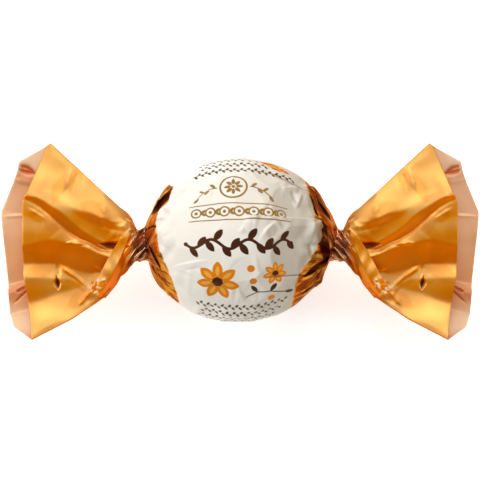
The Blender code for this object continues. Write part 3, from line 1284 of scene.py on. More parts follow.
    def back_hollows(self) -> Tuple[Gap, ...]:
        """Return the dents of the back sheet, whose inside shows past the front one."""
        return (
            Gap((-40.8, 13.6), (-35.2, 11.3), -0.5, 1.6, 1.4, 0.5),
            Gap((-40.2, 13.2), (-36.6, 12.0), 0.3, 0.35, 0.35, 0.4),
            Gap((-40.6, 10.9), (-36.4, 9.9), 0.25, 0.8, 0.6, 0.4),
            Gap((-40.2, -9.4), (-36.8, -7.6), -0.5, 0.4, 0.5, 0.3),
            Gap((-40.6, -11.6), (-37.0, -8.2), -0.35, 0.3, 0.3, 0.3),
            Gap((-42.6, 4.1), (-37.8, 4.4), 0.22, 0.4, 0.4, 0.3),
        )

    def edge_knot(self, sheet: Sheet, sign: int, x: Array) -> Tuple[List[Array], List[Array]]:
        """Return where a sheet's edge and its rim lie, and their heights.

        Args:
            sheet: The front or the back sheet.
            sign: 1 for the upper edge, -1 for the lower one.
            x: Where along the fan.

        Returns:
            The y of the edge and of the rim, and the z of both.
        """
        edge = self.upper_edge if sign > 0 else self.lower_edge
        width, rise = edge.front_rim if sheet is Sheet.FRONT else edge.back_rim
        shares = np.linspace(0.0, 1.0, 60)
        edge_x, edge_y = self.plan(sheet, shares, np.full_like(shares, sign))
        y = np.interp(-x, -edge_x, edge_y)
        z = along_points(edge.z, -x)
        return [y, y - sign * width], [z, z + rise]

    def folded(self, sheet: Sheet, x: Array, y: Array) -> Array:
        """Return the height of a folded sheet at places in plan."""
        folds = self.front_folds if sheet is Sheet.FRONT else self.back_folds
        draw = np.random.default_rng(len(folds))
        stations = np.linspace(self.neck.x, -min(point[0] for point in self.back_mouth), 9)
        knots, levels = self.edge_knot(sheet, -1, x)
        rounds = [0.0, self.rim_round]
        for fold in folds:
            stray = draw.uniform(-1, 1, (2, len(stations)))
            knots.append(fold.at(x, 1) + np.interp(-x, stations, stray[0] * self.waver[0]))
            levels.append(fold.at(x, 2) + np.interp(-x, stations, stray[1] * self.waver[1]))
            rounds.append(fold.rounding)
        upper_knots, upper_levels = self.edge_knot(sheet, 1, x)
        knots += upper_knots[::-1]
        levels += upper_levels[::-1]
        rounds += [self.rim_round, 0.0]
        for i in range(1, len(knots)):
            knots[i] = np.maximum(knots[i], knots[i - 1] + self.fold_gap)
        return bent(knots, levels, rounds, y)

    def sheet_height(self, sheet: Sheet, along: Array, across: Array) -> Array:
        """Return a sheet's height, which goes from the neck's oval to the folded fan."""
        oval = sheet.value * self.neck.half_depth * np.sqrt(np.clip(1 - across**2, 0, 1))
        x, y = self.plan(sheet, along, across)
        return mix(oval, self.folded(sheet, x, y), ease(along, 0.0, self.settled))

    def valley(self, sheet: Sheet, along: Array, across: Array) -> Array:
        """Return how deep a place lies between its neighbours, from 0 to 1, which sets the painted
        shade in valleys.
        """
        reach = self.valley_reach
        here = self.sheet_height(sheet, along, across)
        above = self.sheet_height(sheet, along, np.clip(across + reach, -1, 1))
        below = self.sheet_height(sheet, along, np.clip(across - reach, -1, 1))
        sunk = ((above + below) / 2 - here) * sheet.value
        return np.clip(sunk / self.valley_depth, 0.0, 1.0)

    def tone(self, x: Array, y: Array) -> Array:
        """Return the soft tonal leaves printed on the film."""
        total = np.zeros_like(x)
        for at_x, at_y, length, width, turn in self.tones:
            inside = leaf(x, y, (at_x, at_y), length, width, turn)
            total = np.maximum(total, ease(inside, -0.25, 0.35))
        return total

    def shape(self, along: Array, around: Array) -> Tuple[Array, Fields]:
        """Place the points of the flattened tube of film.

        Args:
            along: Share from neck to mouth.
            around: Share of the turn: the front sheet from its upper edge to its lower one,
                and then the back sheet from its lower edge up.

        Returns:
            Places (n, 3), and the values that the finish reads.
        """
        along = along**self.crowding
        front = around <= 0.5
        side = np.where(front, 1.0, -1.0)
        straight = np.clip(np.where(front, 1 - 4 * around, 4 * around - 3), -1, 1)
        across = mix(np.sin(straight * pi / 2), straight, ease(along, 0.0, 0.5))
        x, y = self.on_sheets(self.plan, front, along, across)
        z = self.on_sheets(self.sheet_height, front, along, across)
        valley = self.on_sheets(self.valley, front, along, across)

        angle = side * np.arccos(across)
        strands = self.neck.strand_heights(-x, angle)
        relief = np.zeros_like(x)
        for strand, depth, fade in zip(strands, self.neck.depths, self.fades):
            relief += depth * (strand - 0.5) * np.exp(-along / fade) * (1 - along)
        y = y + relief * across
        z = z + relief * side * np.sqrt(np.clip(1 - across**2, 0, 1))

        inner = ease(1 - np.abs(across), 0.0, 0.06)
        hollow = lifted(self.hollows(), x, y) * front
        pinch = self.pinch().lift(x, y) * front
        dent = lifted(self.back_hollows(), x, y) * ease(1 - along, 0.0, 0.03) * ~front
        over = lifted(self.creases() + self.scattered(90, 26) + self.crumples(), x, y)
        under = lifted(self.scattered(91, 40), x, y)
        swell = rippled(self.waves, x, y) * ease(along, 0.1, 0.4) * side
        z = z + inner * (np.where(front, hollow + pinch + over, dent - under) + swell)

        # Painted shade: darker and redder between the neck's strands, in valleys, dents and
        # hollows, and along the lower side near the neck.
        fold_shade = 0.6 * self.neck.fold_shade(*strands) * np.exp(-along / self.fades[2])
        fold_shade += 0.6 * valley * (along > 0) + ease(-dent, 0.05, 0.35) + ease(-hollow, 0.1, 0.6)
        fold_shade += front * ease(-across, 0.5, 1.0) * (1.0 - ease(along, 0.12, 0.36))
        glossy_x, glossy_y, spread = self.painted_glint_spot
        fields = {
            FOLD_SHADE: np.clip(fold_shade, 0, 1),
            # Painted shade in the pinch and the hollows.
            GAP: 0.9 * ease(-pinch, 0.1, 0.7) + 0.4 * ease(-hollow, 0.3, 0.9),
            PINCH: 1.0 - ease(along / along_points(self.pinched, across), 0.0, 0.07),
            # A painted glint round one spot.
            PAINTED_GLINT: np.exp(-((x - glossy_x) ** 2 + (y - glossy_y) ** 2) / spread) * front,
            TONE: self.tone(x, y),
            PULL: self.neck.pull(x, angle),
        }
        return np.stack([x * -self.side.value, y, z], axis=1), fields

    def on_sheets(self, method: Callable[..., Value], front: Array, *shares: Array) -> Array:
        """Return what a method gives for the front sheet where front is true, or for the back."""
        return np.where(front, method(Sheet.FRONT, *shares), method(Sheet.BACK, *shares))

    def scattered(self, seed: int, count: int) -> Tuple[Crease, ...]:
        """Return the long, shallow creases scattered over a sheet."""
        size = ((-30.0, 0.0), (12.0, 17.0), (4.0, 11.0), (-0.06, 0.08), (0.7, 2.2))
        return Scatter(seed, count, *size).creases()

    def crumples(self) -> Tuple[Crease, ...]:
        """Return the tight crumples of the lower gather, near the neck."""
        lower = Scatter(17, 20, (-24.6, -8.2), (2.6, 2.4), (1.5, 4.0), (-0.14, 0.18), (0.25, 0.9))
        upper = Scatter(18, 12, (-23.0, 3.6), (2.6, 1.4), (2.0, 4.5), (-0.07, 0.08), (0.4, 1.1))
        return lower.creases() + upper.creases()

    def build(self, outer: bpy.types.Material, inner: bpy.types.Material) -> bpy.types.Object:
        """Model the fan and dress it outside and inside."""
        fan = flat_film(f"fan_{self.side.name.lower()}", self.columns, self.rows)
        shape_film(fan, self.axis_z, self.shape)
        close_seams(fan)
        face_out(fan, Vector((self.side.value * 30 * MM, 0, self.axis_z)))
        # Painted light: the film is lighter where it turns towards the key light at +Y, deeper
        # orange where it turns away.
        mark_painted_light(fan, (0.0, 1.0, 0.0), -0.26, 0.16)
        dress(fan, outer, inner)
        thicken(fan, self.thickness, 1)
        finish_piece(fan)
        return fan


@dataclass(frozen=True)
class Pleat:
    """A flap of film folded over the front of a fan, from the neck to its lower edge.

    Its lines run from the neck down, as points (x, y, z) about the ball's middle on the left.

    Attributes:
        fan: The fan that it lies on.
        thickness: Of the flap, which is more than one layer of film.
        columns: Divisions from the neck down.
        rows: Divisions across.
        open_edge: The free edge, on the side of the mouth.
        crest: The line that it is folded over.
        root: Where it turns under, on the side of the neck.
        tuck: Where it ends, between the fan's two sheets.
        shares: Where the crest and the root lie across it, from the free edge.
        ripples: Waves along and across it.
        crumples: Small creases at its lower end.
    """

    fan: Fan
    thickness: float = 0.12
    columns: int = 120
    rows: int = 40
    open_edge: Tuple[Three, ...] = (
        (-19.3, 1.8, 2.4), (-21.3, -0.2, 2.4), (-23.2, -3.3, 2.6), (-24.9, -6.7, 2.85),
        (-27.0, -10.0, 2.5)
    )
    crest: Tuple[Three, ...] = (
        (-19.0, 1.7, 2.5), (-20.2, -1.3, 2.5), (-21.5, -4.3, 2.65), (-22.9, -7.2, 2.85),
        (-24.9, -9.9, 2.4)
    )
    root: Tuple[Three, ...] = (
        (-18.9, 1.8, 0.8), (-19.3, -1.5, 1.9), (-20.3, -5.0, 0.2), (-21.8, -7.9, -0.1),
        (-23.8, -10.3, -0.1)
    )
    tuck: Tuple[Three, ...] = (
        (-19.2, 1.3, 0.4), (-20.0, -1.2, 1.0), (-21.2, -4.0, -0.3), (-22.6, -6.6, -0.5),
        (-24.6, -9.0, -0.2)
    )
    shares: Point = (0.5, 0.85)
    ripples: Tuple[Row, ...] = ((0.09, 10.4, 4.0, 0.0), (0.03, 34.6, -6.0, 0.0))
    crumples: Scatter = Scatter(
        23, 22, (-25.0, -8.6), (1.8, 1.4), (0.8, 2.2), (-0.2, 0.25), (0.2, 0.5)
    )

    def shape(self, along: Array, across: Array) -> Tuple[Array, Fields]:
        """Place the flap's points.

        Args:
            along: Share from the neck down.
            across: Share across, from the free edge to the root.

        Returns:
            Places (n, 3), and the values that the finish reads.
        """
        stations = np.linspace(0, 1, len(self.crest))
        lines = []
        for line in (self.open_edge, self.crest, self.root, self.tuck):
            parts = zip(*line)
            lines.append(np.stack([np.interp(along, stations, part) for part in parts], axis=1))
        open_edge, crest, root, tuck = lines
        first, second = self.shares
        outer = np.clip(across / first, 0, 1)[:, None]
        inner = np.clip((across - first) / (second - first), 0, 1)[:, None]
        under = np.clip((across - second) / (1 - second), 0, 1)[:, None]
        places = mix(mix(mix(open_edge, crest, outer), root, inner), tuck, under)
        x, y, z = places.T
        # The flap's lower end, where a painted glint lies.
        glint_end = ease(along, 0.68, 0.78) * ease(1 - along, 0.0, 0.12)
        fields = {
            # Painted shade where the flap turns down from its crest to its root.
            FOLD_SHADE: 0.5 * ease(inner[:, 0], 0.2, 1.0),
            GAP: np.zeros_like(x),
            PINCH: 1.0 - ease(along, 0.0, 0.08),
            PAINTED_GLINT: glint_end * ease(first - across, 0.0, 0.2),
            TONE: np.zeros_like(x),
            PULL: np.stack([self.fan.neck.drawn_out * y, x, z], axis=1),
        }
        z = z + rippled(self.ripples, along, across) * ease(along, 0.0, 0.2)
        z = z + lifted(self.crumples.creases(), x, y)
        return np.stack([x * -self.fan.side.value, y, z], axis=1), fields

    def build(self, material: bpy.types.Material) -> bpy.types.Object:
        """Model the flap and dress it."""
        fan = self.fan
        flap = flat_film(f"pleat_{fan.side.name.lower()}", self.columns, self.rows)
        shape_film(flap, fan.axis_z, self.shape)
        face_out(flap, Vector((fan.side.value * 22 * MM, 0, fan.axis_z - 20 * MM)))
        # Painted light: the flap is lighter where it turns towards the key light.
        mark_painted_light(flap, (-0.5, 1.0, 0.0), -0.35, 0.3)
        dress(flap, material)
        thicken(flap, self.thickness, 0)
        finish_piece(flap)
        return flap


# --- Finishes ---


class Graph:
    """Lays shader nodes in a tree and links them."""

    def __init__(self, tree: bpy.types.NodeTree) -> None:
        """Work in the given tree."""
        self.tree = tree

    def node(self, kind: str, **settings: object) -> bpy.types.Node:
        """Add a node and set its properties."""
        made = self.tree.nodes.new(kind)
        for name, value in settings.items():
            setattr(made, name, value)
        return made

    def feed(self, socket: Socket, value: Feed) -> None:
        """Link a socket to another one, or set it to a plain value."""
        if isinstance(value, bpy.types.NodeSocket):
            self.tree.links.new(value, socket)
        elif isinstance(value, tuple) and socket.type == "RGBA":
            socket.default_value = (*value, 1.0)
        else:
            socket.default_value = value

    def math(self, operation: str, *values: Feed, clamp: bool = False) -> Socket:
        """Return the result of a Math node."""
        made = self.node("ShaderNodeMath", operation=operation, use_clamp=clamp)
        for socket, value in zip(made.inputs, values):
            self.feed(socket, value)
        return made.outputs[0]

    def times(self, first: Feed, second: Feed) -> Socket:
        """Return the product of two values."""
        return self.math("MULTIPLY", first, second)

    def scaled(self, value: Feed, factor: Feed, base: Feed, clamp: bool = False) -> Socket:
        """Return a value times a factor, added to a base."""
        return self.math("MULTIPLY_ADD", value, factor, base, clamp=clamp)

    def rise(self, value: Feed, low: float, high: float) -> Socket:
        """Return a smooth step from 0 at low to 1 at high."""
        made = self.node("ShaderNodeMapRange", interpolation_type="SMOOTHSTEP")
        self.feed(made.inputs["Value"], value)
        self.feed(made.inputs["From Min"], low)
        self.feed(made.inputs["From Max"], high)
        return made.outputs["Result"]

    def between(self, share: Feed, low: float, high: float) -> Socket:
        """Return the value at a share of the way from low to high."""
        made = self.node("ShaderNodeMapRange")
        self.feed(made.inputs["Value"], share)
        self.feed(made.inputs["To Min"], low)
        self.feed(made.inputs["To Max"], high)
        return made.outputs["Result"]

    def blend(self, share: Feed, start: Feed, end: Feed) -> Socket:
        """Return a colour between two others."""
        made = self.node("ShaderNodeMix", data_type="RGBA")
        self.feed(made.inputs["Factor"], share)
        for name, value in (("A", start), ("B", end)):
            socket = next(s for s in made.inputs if s.name == name and s.type == "RGBA")
            self.feed(socket, value)
        return next(s for s in made.outputs if s.type == "RGBA")

    def noise(self, vector: Socket, scale: Feed, detail: float = 2.0, kind: str = "FBM") -> Socket:
        """Return a noise value."""
        made = self.node("ShaderNodeTexNoise", noise_type=kind)
        self.feed(made.inputs["Vector"], vector)
        self.feed(made.inputs["Scale"], scale)
        self.feed(made.inputs["Detail"], detail)
        return made.outputs["Fac"]


def crumple_group() -> bpy.types.NodeTree:
    """Return the fine crumple of handled film.

    Returns:
        A group that takes a Place and a Scale, and gives the Height of its small creases and
        the Cloud of its uneven gloss.
    """
    group = bpy.data.node_groups.new("film_crumple", "ShaderNodeTree")
    for name, way, kind in (
        ("Place", "INPUT", "Vector"), ("Scale", "INPUT", "Float"),
        ("Height", "OUTPUT", "Float"), ("Cloud", "OUTPUT", "Float"),
    ):
        group.interface.new_socket(name, in_out=way, socket_type=f"NodeSocket{kind}")
    graph = Graph(group)
    given = graph.node("NodeGroupInput").outputs
    out = graph.node("NodeGroupOutput").inputs
    sharp = graph.noise(given["Place"], given["Scale"], 3.0, "RIDGED_MULTIFRACTAL")
    soft = graph.noise(given["Place"], graph.times(given["Scale"], SOFT_SCALE), 3.0)
    graph.feed(out["Height"], graph.scaled(sharp, SHARP_SHARE, soft))
    graph.feed(out["Cloud"], graph.rise(graph.noise(given["Place"], CLOUD_SCALE), 0.3, 0.7))
    return group


@dataclass(frozen=True)
class Film:
    """What the film's finishes share.

    Attributes:
        relief: How many creases in a metre, and how deep they are in metres.
        gloss: Least and greatest roughness, and the roughness where it is twisted tight.
        tint: Of the highlights that aren't the metal's.
        sheen: Their strength.
    """

    relief: Point = (330.0, 0.00003)
    gloss: Three = (0.34, 0.46, 0.24)
    tint: Three = (1.0, 1.0, 1.0)
    sheen: float = 0.5


class Finish:
    """A film finish as it is laid: its material, with a graph for its nodes."""

    def __init__(self, name: str, crumple: bpy.types.NodeTree, film: Film) -> None:
        """Start the material, with its relief, its gloss and its highlights.

        Args:
            name: Of the material.
            crumple: The shared group of film's fine crumple.
            film: What the finish is made to.
        """
        self.material = bpy.data.materials.new(name)
        self.material.use_nodes = True
        self.graph = Graph(self.material.node_tree)
        self.shader = self.material.node_tree.nodes["Principled BSDF"]
        self.place = self.graph.node("ShaderNodeTexCoord").outputs["Object"]
        self.pull = self.graph.node("ShaderNodeAttribute", attribute_name=PULL).outputs["Vector"]
        self.crumple = self.graph.node("ShaderNodeGroup", node_tree=crumple)
        self.graph.feed(self.crumple.inputs["Place"], self.place)
        self.shader.inputs["Specular Tint"].default_value = (*film.tint, 1.0)
        self.shader.inputs["Specular IOR Level"].default_value = film.sheen
        self.relief(*film.relief)
        self.gloss(*film.gloss)

    def value(self, name: str) -> Socket:
        """Return a value that the mesh carries."""
        return self.graph.node("ShaderNodeAttribute", attribute_name=name).outputs["Fac"]

    def relief(self, scale: float, depth: float) -> None:
        """Give the surface its fine crumple, which is deeper where the film is loose or carries
        painted glints.
        """
        graph = self.graph
        graph.feed(self.crumple.inputs["Scale"], scale)
        bump = graph.node("ShaderNodeBump")
        bump.inputs["Strength"].default_value = 1.0
        bump.inputs["Distance"].default_value = depth
        rough = graph.math("ADD", self.value(LOOSE), self.value(PAINTED_GLINT), clamp=True)
        height = graph.times(self.crumple.outputs["Height"], graph.scaled(rough, LOOSE_RELIEF, 1.0))
        graph.feed(bump.inputs["Height"], height)
        graph.feed(self.shader.inputs["Normal"], bump.outputs["Normal"])

    def gloss(self, low: float, high: float, pinched: float) -> None:
        """Give the surface its uneven gloss, which is lost in deep gaps."""
        graph = self.graph
        open_film = graph.between(self.crumple.outputs["Cloud"], low, high)
        tight = graph.math("SUBTRACT", pinched, open_film)
        rough = graph.scaled(self.value(PINCH), tight, open_film)
        rough = graph.scaled(self.value(GAP), GAP_ROUGHNESS, rough)
        graph.feed(self.shader.inputs["Roughness"], rough)

    def metal(self, share: Feed, film: Feed = 1.0) -> None:
        """Give the surface its share of metal.

        Args:
            share: Of metal on the open film, which is lost on the painted glints.
            film: Where the film is bare, and so all metal in its deep gaps, which keeps their
                painted shade dark.
        """
        graph = self.graph
        bare = graph.scaled(self.value(PAINTED_GLINT), -GLINT_METAL, 1.0)
        gap = graph.times(self.value(GAP), film)
        metal = graph.math("MAXIMUM", graph.times(share, bare), gap)
        graph.feed(self.shader.inputs["Metallic"], metal)

    def dyed(self, colour: Socket) -> bpy.types.Material:
        """Give the surface its colour and return the finished material."""
        self.graph.feed(self.shader.inputs["Base Color"], colour)
        return self.material


@dataclass(frozen=True)
class OrangeFilm(Film):
    """The orange outside of the film, with painted shade that makes it darker and redder where it
    is folded deep, and painted light by how it faces the key light.

    Attributes:
        orange: Painted shade: film that faces away from the key light.
        warm: Painted half light: film that half faces it.
        light: Painted light: film that faces it.
        tonal: The faint leaves printed on it.
        tone_share: How far these take its colour.
        red: Painted shade in its deep folds.
        brown: Painted shade in the loose film's folds, and its dark patches, which are partly
            painted shade.
        shaded_loose: Painted shade on loose film that faces away from the key light.
        golden: Painted highlights: bright patches of the loose film where it faces the key light.
        copper: Strands of the tight neck: the film's copper, darkened by painted shade.
        gold: Painted highlights along them.
        tight: Painted shade in the grooves between them.
        deep: Painted shade in deep gaps.
        pale: Painted glints.
        metallic: Share of metal where it is open and where it is twisted tight.
        cloud: Scale and strength of the soft clouds in its colour.
        loose_light: How much less painted light the loose film gets.
        patches: Scale and detail of the patches on the loose film.
        bright: Values of the patch pattern between which the painted highlights show.
        dark: Values below which the loose film turns dark, and how dark it gets; there are more of
            these patches where it faces away from the key light, as painted shade.
        shown: Between which shares of facing the key light the painted highlights show.
        highlight_streaks: Scale of the neck's painted highlights along the strands, and the values
            between which they show.
        glint_spots: Scale of the painted glint specks, and the values between which they show.
    """

    orange: Three = (0.90, 0.195, 0.0)
    warm: Three = (0.88, 0.30, 0.008)
    light: Three = (0.84, 0.42, 0.11)
    tonal: Three = (0.72, 0.21, 0.012)
    red: Three = (0.56, 0.105, 0.003)
    brown: Three = (0.14, 0.026, 0.004)
    shaded_loose: Three = (0.17, 0.036, 0.004)
    golden: Three = (0.92, 0.50, 0.09)
    copper: Three = (0.42, 0.13, 0.05)
    gold: Three = (0.90, 0.60, 0.36)
    tight: Three = (0.17, 0.04, 0.018)
    deep: Three = (0.05, 0.005, 0.002)
    pale: Three = (1.0, 0.76, 0.42)
    tint: Three = (1.0, 0.62, 0.26)
    sheen: float = 0.15
    metallic: Point = (0.6, 0.9)
    cloud: Point = (70.0, 0.25)
    tone_share: float = 0.36
    loose_light: float = 0.72
    patches: Point = (1.4, 4.0)
    bright: Point = (0.5, 0.6)
    dark: Three = (0.46, 0.57, 0.85)
    shown: Point = (0.5, 0.85)
    highlight_streaks: Three = (0.8, 0.42, 0.6)
    glint_spots: Three = (1300.0, 0.5, 0.58)

    def smooth(self, finish: Finish) -> Socket:
        """Return the colour of the smooth film, with painted light: lighter where it faces the key
        light, and darker where it is loose.
        """
        graph = finish.graph
        scale, strength = self.cloud
        cloud = graph.between(graph.noise(finish.place, scale), -strength, strength)
        # Painted light: the film's turn towards the key light, with random clouds, picks its colour
        # from orange to light.
        lit = graph.math("ADD", finish.value(PAINTED_LIGHT), cloud, clamp=True)
        lit = graph.times(lit, graph.between(finish.value(LOOSE), 1.0, self.loose_light))
        colour = graph.blend(graph.rise(lit, 0.0, 0.6), self.orange, self.warm)
        colour = graph.blend(graph.rise(lit, 0.5, 1.0), colour, self.light)
        return graph.blend(graph.times(finish.value(TONE), self.tone_share), colour, self.tonal)

    def patched(self, finish: Finish, colour: Socket) -> Socket:
        """Return a colour with painted shade on the loose film's turned-away side, painted
        highlights where it faces the key light, and dark patches that are partly painted shade.
        """
        graph = finish.graph
        loose, facing = finish.value(LOOSE), finish.value(PAINTED_LIGHT)
        # Painted shade on the loose film where it turns away or down.
        turned_away = graph.scaled(finish.value(RIM), 0.9, graph.between(facing, 0.7, 0.0), True)
        colour = graph.blend(graph.times(loose, turned_away), colour, self.shaded_loose)
        patches = graph.noise(finish.pull, *self.patches)
        # Painted highlights: bright patches only where the film faces the key light.
        bright = graph.times(loose, graph.rise(patches, *self.bright))
        bright = graph.times(bright, graph.between(facing, *self.shown))
        colour = graph.blend(bright, colour, self.golden)
        # Dark patches, more of them where the film faces away: partly random tone, partly painted
        # shade.
        low, high, strength = self.dark
        dark = graph.rise(graph.scaled(facing, 0.08, patches), low, high)
        dark = graph.times(loose, graph.math("SUBTRACT", 1.0, dark))
        return graph.blend(graph.times(dark, strength), colour, self.brown)

    def colour(self, finish: Finish) -> Socket:
        """Return the film's colour, with painted shade in its folds and gaps, painted glints, and
        its tight necks with painted highlights and shade.
        """
        graph = finish.graph
        fold_shade = finish.value(FOLD_SHADE)
        colour = self.patched(finish, self.smooth(finish))
        # Painted shade in the folds.
        fold = graph.blend(finish.value(LOOSE), self.red, self.brown)
        colour = graph.blend(fold_shade, colour, fold)
        # Painted glints in pale specks.
        scale, low, high = self.glint_spots
        glint_spots = graph.rise(graph.noise(finish.place, scale), low, high)
        colour = graph.blend(graph.times(finish.value(PAINTED_GLINT), glint_spots), colour, self.pale)
        # The tight neck: painted highlights along its strands and painted shade in its grooves.
        scale, low, high = self.highlight_streaks
        highlight_streaks = graph.rise(graph.noise(finish.pull, scale), low, high)
        neck = graph.blend(fold_shade, graph.blend(highlight_streaks, self.copper, self.gold), self.tight)
        colour = graph.blend(finish.value(PINCH), colour, neck)
        # Painted shade in the deep gaps.
        depth = graph.blend(graph.times(highlight_streaks, 0.5), self.deep, self.tight)
        return graph.blend(finish.value(GAP), colour, depth)

    def make(self, crumple: bpy.types.NodeTree) -> bpy.types.Material:
        """Return the material."""
        finish = Finish("orange_film", crumple, self)
        finish.metal(finish.graph.between(finish.value(PINCH), *self.metallic))
        return finish.dyed(self.colour(finish))


@dataclass(frozen=True)
class InnerFilm(Film):
    """The bare copper-pink inside of the film.

    Attributes:
        copper: Its colour.
        pale: Its paler clouds, and its ends across the wrapper.
        folded: Painted shade in its deep folds.
        metallic: Share of metal.
        clouds: Scale of the clouds, the values between which they show, and their strength.
        ends: Between which distances from the axis it turns pale, in metres.
    """

    copper: Three = (0.87, 0.41, 0.18)
    pale: Three = (0.97, 0.64, 0.40)
    folded: Three = (0.58, 0.12, 0.01)
    metallic: float = 0.15
    relief: Point = (300.0, 0.00003)
    gloss: Three = (0.36, 0.48, 0.3)
    clouds: Row = (90.0, 0.35, 0.75, 0.6)
    ends: Point = (0.0105, 0.0145)

    def make(self, crumple: bpy.types.NodeTree) -> bpy.types.Material:
        """Return the material."""
        finish = Finish("inner_film", crumple, self)
        graph = finish.graph
        scale, low, high, strength = self.clouds
        cloud = graph.rise(graph.noise(finish.place, scale), low, high)
        place = graph.node("ShaderNodeSeparateXYZ")
        graph.feed(place.inputs[0], finish.place)
        ends = graph.rise(graph.math("ABSOLUTE", place.outputs["Y"]), *self.ends)
        pale = graph.scaled(cloud, strength, ends, True)
        colour = graph.blend(pale, self.copper, self.pale)
        finish.shader.inputs["Metallic"].default_value = self.metallic
        # Painted shade in the folds.
        return finish.dyed(graph.blend(finish.value(FOLD_SHADE), colour, self.folded))


@dataclass(frozen=True)
class PrintedFilm(Film):
    """The film over the ball: a warm white band with a plain printed design, orange beside it.

    Attributes:
        outside: The orange film beside the band.
        white: Painted light: the band where it faces the key light.
        shaded_white: Painted shade: the band where it faces away, darker and warmer.
        shade: Painted shade in its deep gaps.
        shade_share: How far these take its colour.
        inks: The colour of each ink, in the order they are laid.
        metallic: Share of metal of the orange film where it is loose and where it is tight.
        rim_metal: How much of that metal is left low on the loose film's sides.
        blur: Half the width of a printed edge, in millimetres.
    """

    outside: OrangeFilm = OrangeFilm()
    white: Three = (0.88, 0.845, 0.775)
    shaded_white: Three = (0.38, 0.31, 0.20)
    shade: Three = (0.20, 0.13, 0.08)
    shade_share: float = 0.6
    inks: Tuple[Tuple[Ink, Three], ...] = (
        (Ink.GOLD, (0.30, 0.165, 0.035)),
        (Ink.ORANGE, (0.72, 0.215, 0.008)),
        (Ink.AMBER, (0.86, 0.40, 0.05)),
        (Ink.BROWN, (0.055, 0.016, 0.008)),
    )
    tint: Three = (1.0, 0.52, 0.14)
    sheen: float = 0.3
    metallic: Point = (0.88, 0.95)
    rim_metal: float = 0.55
    relief: Point = (420.0, 0.00006)
    blur: float = 0.05

    def make(self, crumple: bpy.types.NodeTree) -> bpy.types.Material:
        """Return the material."""
        finish = Finish("printed_film", crumple, self)
        graph = finish.graph
        # Painted light and shade on the band: white where it turns to the key light, cream-brown
        # where it turns away.
        colour = graph.blend(finish.value(PAINTED_LIGHT), self.shaded_white, self.white)
        for ink, shade in self.inks:
            mask = graph.rise(finish.value(ink.value), -self.blur, self.blur)
            colour = graph.blend(mask, colour, shade)
        # Painted shade in the deep gaps.
        colour = graph.blend(graph.times(finish.value(GAP), self.shade_share), colour, self.shade)
        band = graph.rise(finish.value(PANEL), -self.blur, self.blur)
        colour = graph.blend(band, self.outside.colour(finish), colour)
        bare = graph.math("SUBTRACT", 1.0, band)
        rim = graph.times(graph.rise(finish.value(RIM), 0.8, 1.0), finish.value(LOOSE))
        metal = graph.between(finish.value(PINCH), *self.metallic)
        metal = graph.times(metal, graph.between(rim, 1.0, self.rim_metal))
        finish.metal(graph.times(bare, metal), bare)
        return finish.dyed(colour)


# --- Studio ---


@dataclass(frozen=True)
class Softbox:
    """A soft square light that faces the wrapper.

    Attributes:
        name: Of the light.
        place: Where it hangs, in metres.
        size: Its width, in metres.
        power: In watts.
    """

    name: str
    place: Three
    size: float
    power: float

    def build(self, aim: Vector) -> None:
        """Hang the light and turn it to its aim."""
        light = bpy.data.lights.new(self.name, "AREA")
        light.shape = "SQUARE"
        light.size = self.size
        light.energy = self.power
        lamp = bpy.data.objects.new(self.name, light)
        lamp.location = self.place
        lamp.rotation_euler = (aim - Vector(self.place)).to_track_quat("-Z", "Y").to_euler()
        bpy.context.scene.collection.objects.link(lamp)


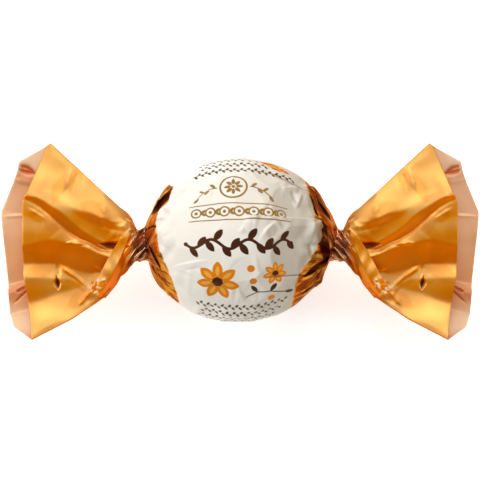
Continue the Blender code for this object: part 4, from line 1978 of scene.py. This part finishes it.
@dataclass(frozen=True)
class Studio:
    """The pale floor, the soft lights and the camera over the wrapper, in metres.

    Attributes:
        axis_z: Height of the wrapper's axis.
        frame_width: Width of the picture at that height.
        lens: Focal length of the camera, in millimetres.
        sensor: Width of its sensor, in millimetres.
        nearest: Nearest distance that it sees.
        floor_size: Width of the floor.
        floor_colour: Its colour.
        floor_roughness: Its roughness.
        floor_glow: Strength of its own faint light.
        room: Strength of the room's even light.
        room_colour: Its colour.
        boxes: The soft lights.
    """

    axis_z: float
    frame_width: float = 0.08496
    lens: float = 120.0
    sensor: float = 36.0
    nearest: float = 0.01
    floor_size: float = 1.6
    floor_colour: Three = (0.9, 0.9, 0.9)
    floor_roughness: float = 0.9
    floor_glow: float = 0.57
    room: float = 0.24
    room_colour: Three = (1.0, 0.94, 0.84)
    boxes: Tuple[Softbox, ...] = (
        Softbox("key", (0.0, 0.34, 0.40), 0.36, 1.38),
        Softbox("left", (-0.44, 0.08, 0.30), 0.30, 1.35),
        Softbox("right", (0.44, 0.08, 0.30), 0.30, 0.5),
        Softbox("fill", (0.15, -0.42, 0.26), 0.30, 0.35),
    )

    def build(self) -> None:
        """Set up the studio."""
        self.floor()
        for box in self.boxes:
            box.build(Vector((0, 0, self.axis_z)))
        self.surround()
        self.camera()

    def floor(self) -> None:
        """Lay the pale, faintly lit floor."""
        bpy.ops.object.select_all(action="DESELECT")
        bpy.ops.mesh.primitive_plane_add(size=self.floor_size)
        floor = bpy.context.object
        floor.name = "studio_floor"
        material = bpy.data.materials.new("studio_floor")
        material.use_nodes = True
        shader = material.node_tree.nodes["Principled BSDF"]
        shader.inputs["Base Color"].default_value = (*self.floor_colour, 1.0)
        shader.inputs["Roughness"].default_value = self.floor_roughness
        shader.inputs["Emission Color"].default_value = (1.0, 1.0, 1.0, 1.0)
        shader.inputs["Emission Strength"].default_value = self.floor_glow
        floor.data.materials.append(material)

    def surround(self) -> None:
        """Fill the room with faint, even light."""
        world = bpy.data.worlds.new("studio")
        world.use_nodes = True
        background = world.node_tree.nodes["Background"]
        background.inputs["Color"].default_value = (*self.room_colour, 1.0)
        background.inputs["Strength"].default_value = self.room
        bpy.context.scene.world = world

    def camera(self) -> None:
        """Place the camera straight above the ball."""
        data = bpy.data.cameras.new("camera")
        data.lens = self.lens
        data.sensor_width = self.sensor
        data.clip_start = self.nearest
        eye = bpy.data.objects.new("camera", data)
        distance = self.frame_width * self.lens / self.sensor
        eye.location = (0.0, 0.0, self.axis_z + distance)
        bpy.context.scene.collection.objects.link(eye)
        bpy.context.scene.camera = eye
        bpy.context.scene.view_settings.view_transform = "Standard"


def main() -> None:
    """Build the wrapper's pieces, dress them and set up the studio."""
    logging.basicConfig(level=logging.INFO, format="%(name)s: %(message)s")
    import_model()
    axis_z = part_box(NODE)[1].z - CAD_RADIUS * MM

    crumple = crumple_group()
    orange = OrangeFilm().make(crumple)
    inner = InnerFilm().make(crumple)
    printed = PrintedFilm().make(crumple)

    neck = Neck()
    BallCover(axis_z, neck, Design()).build(printed)
    for side in Side:
        fan = Fan(side, axis_z, neck)
        fan.build(orange, inner)
        Pleat(fan).build(orange)
    Studio(axis_z).build()


if __name__ == "__main__":
    main()
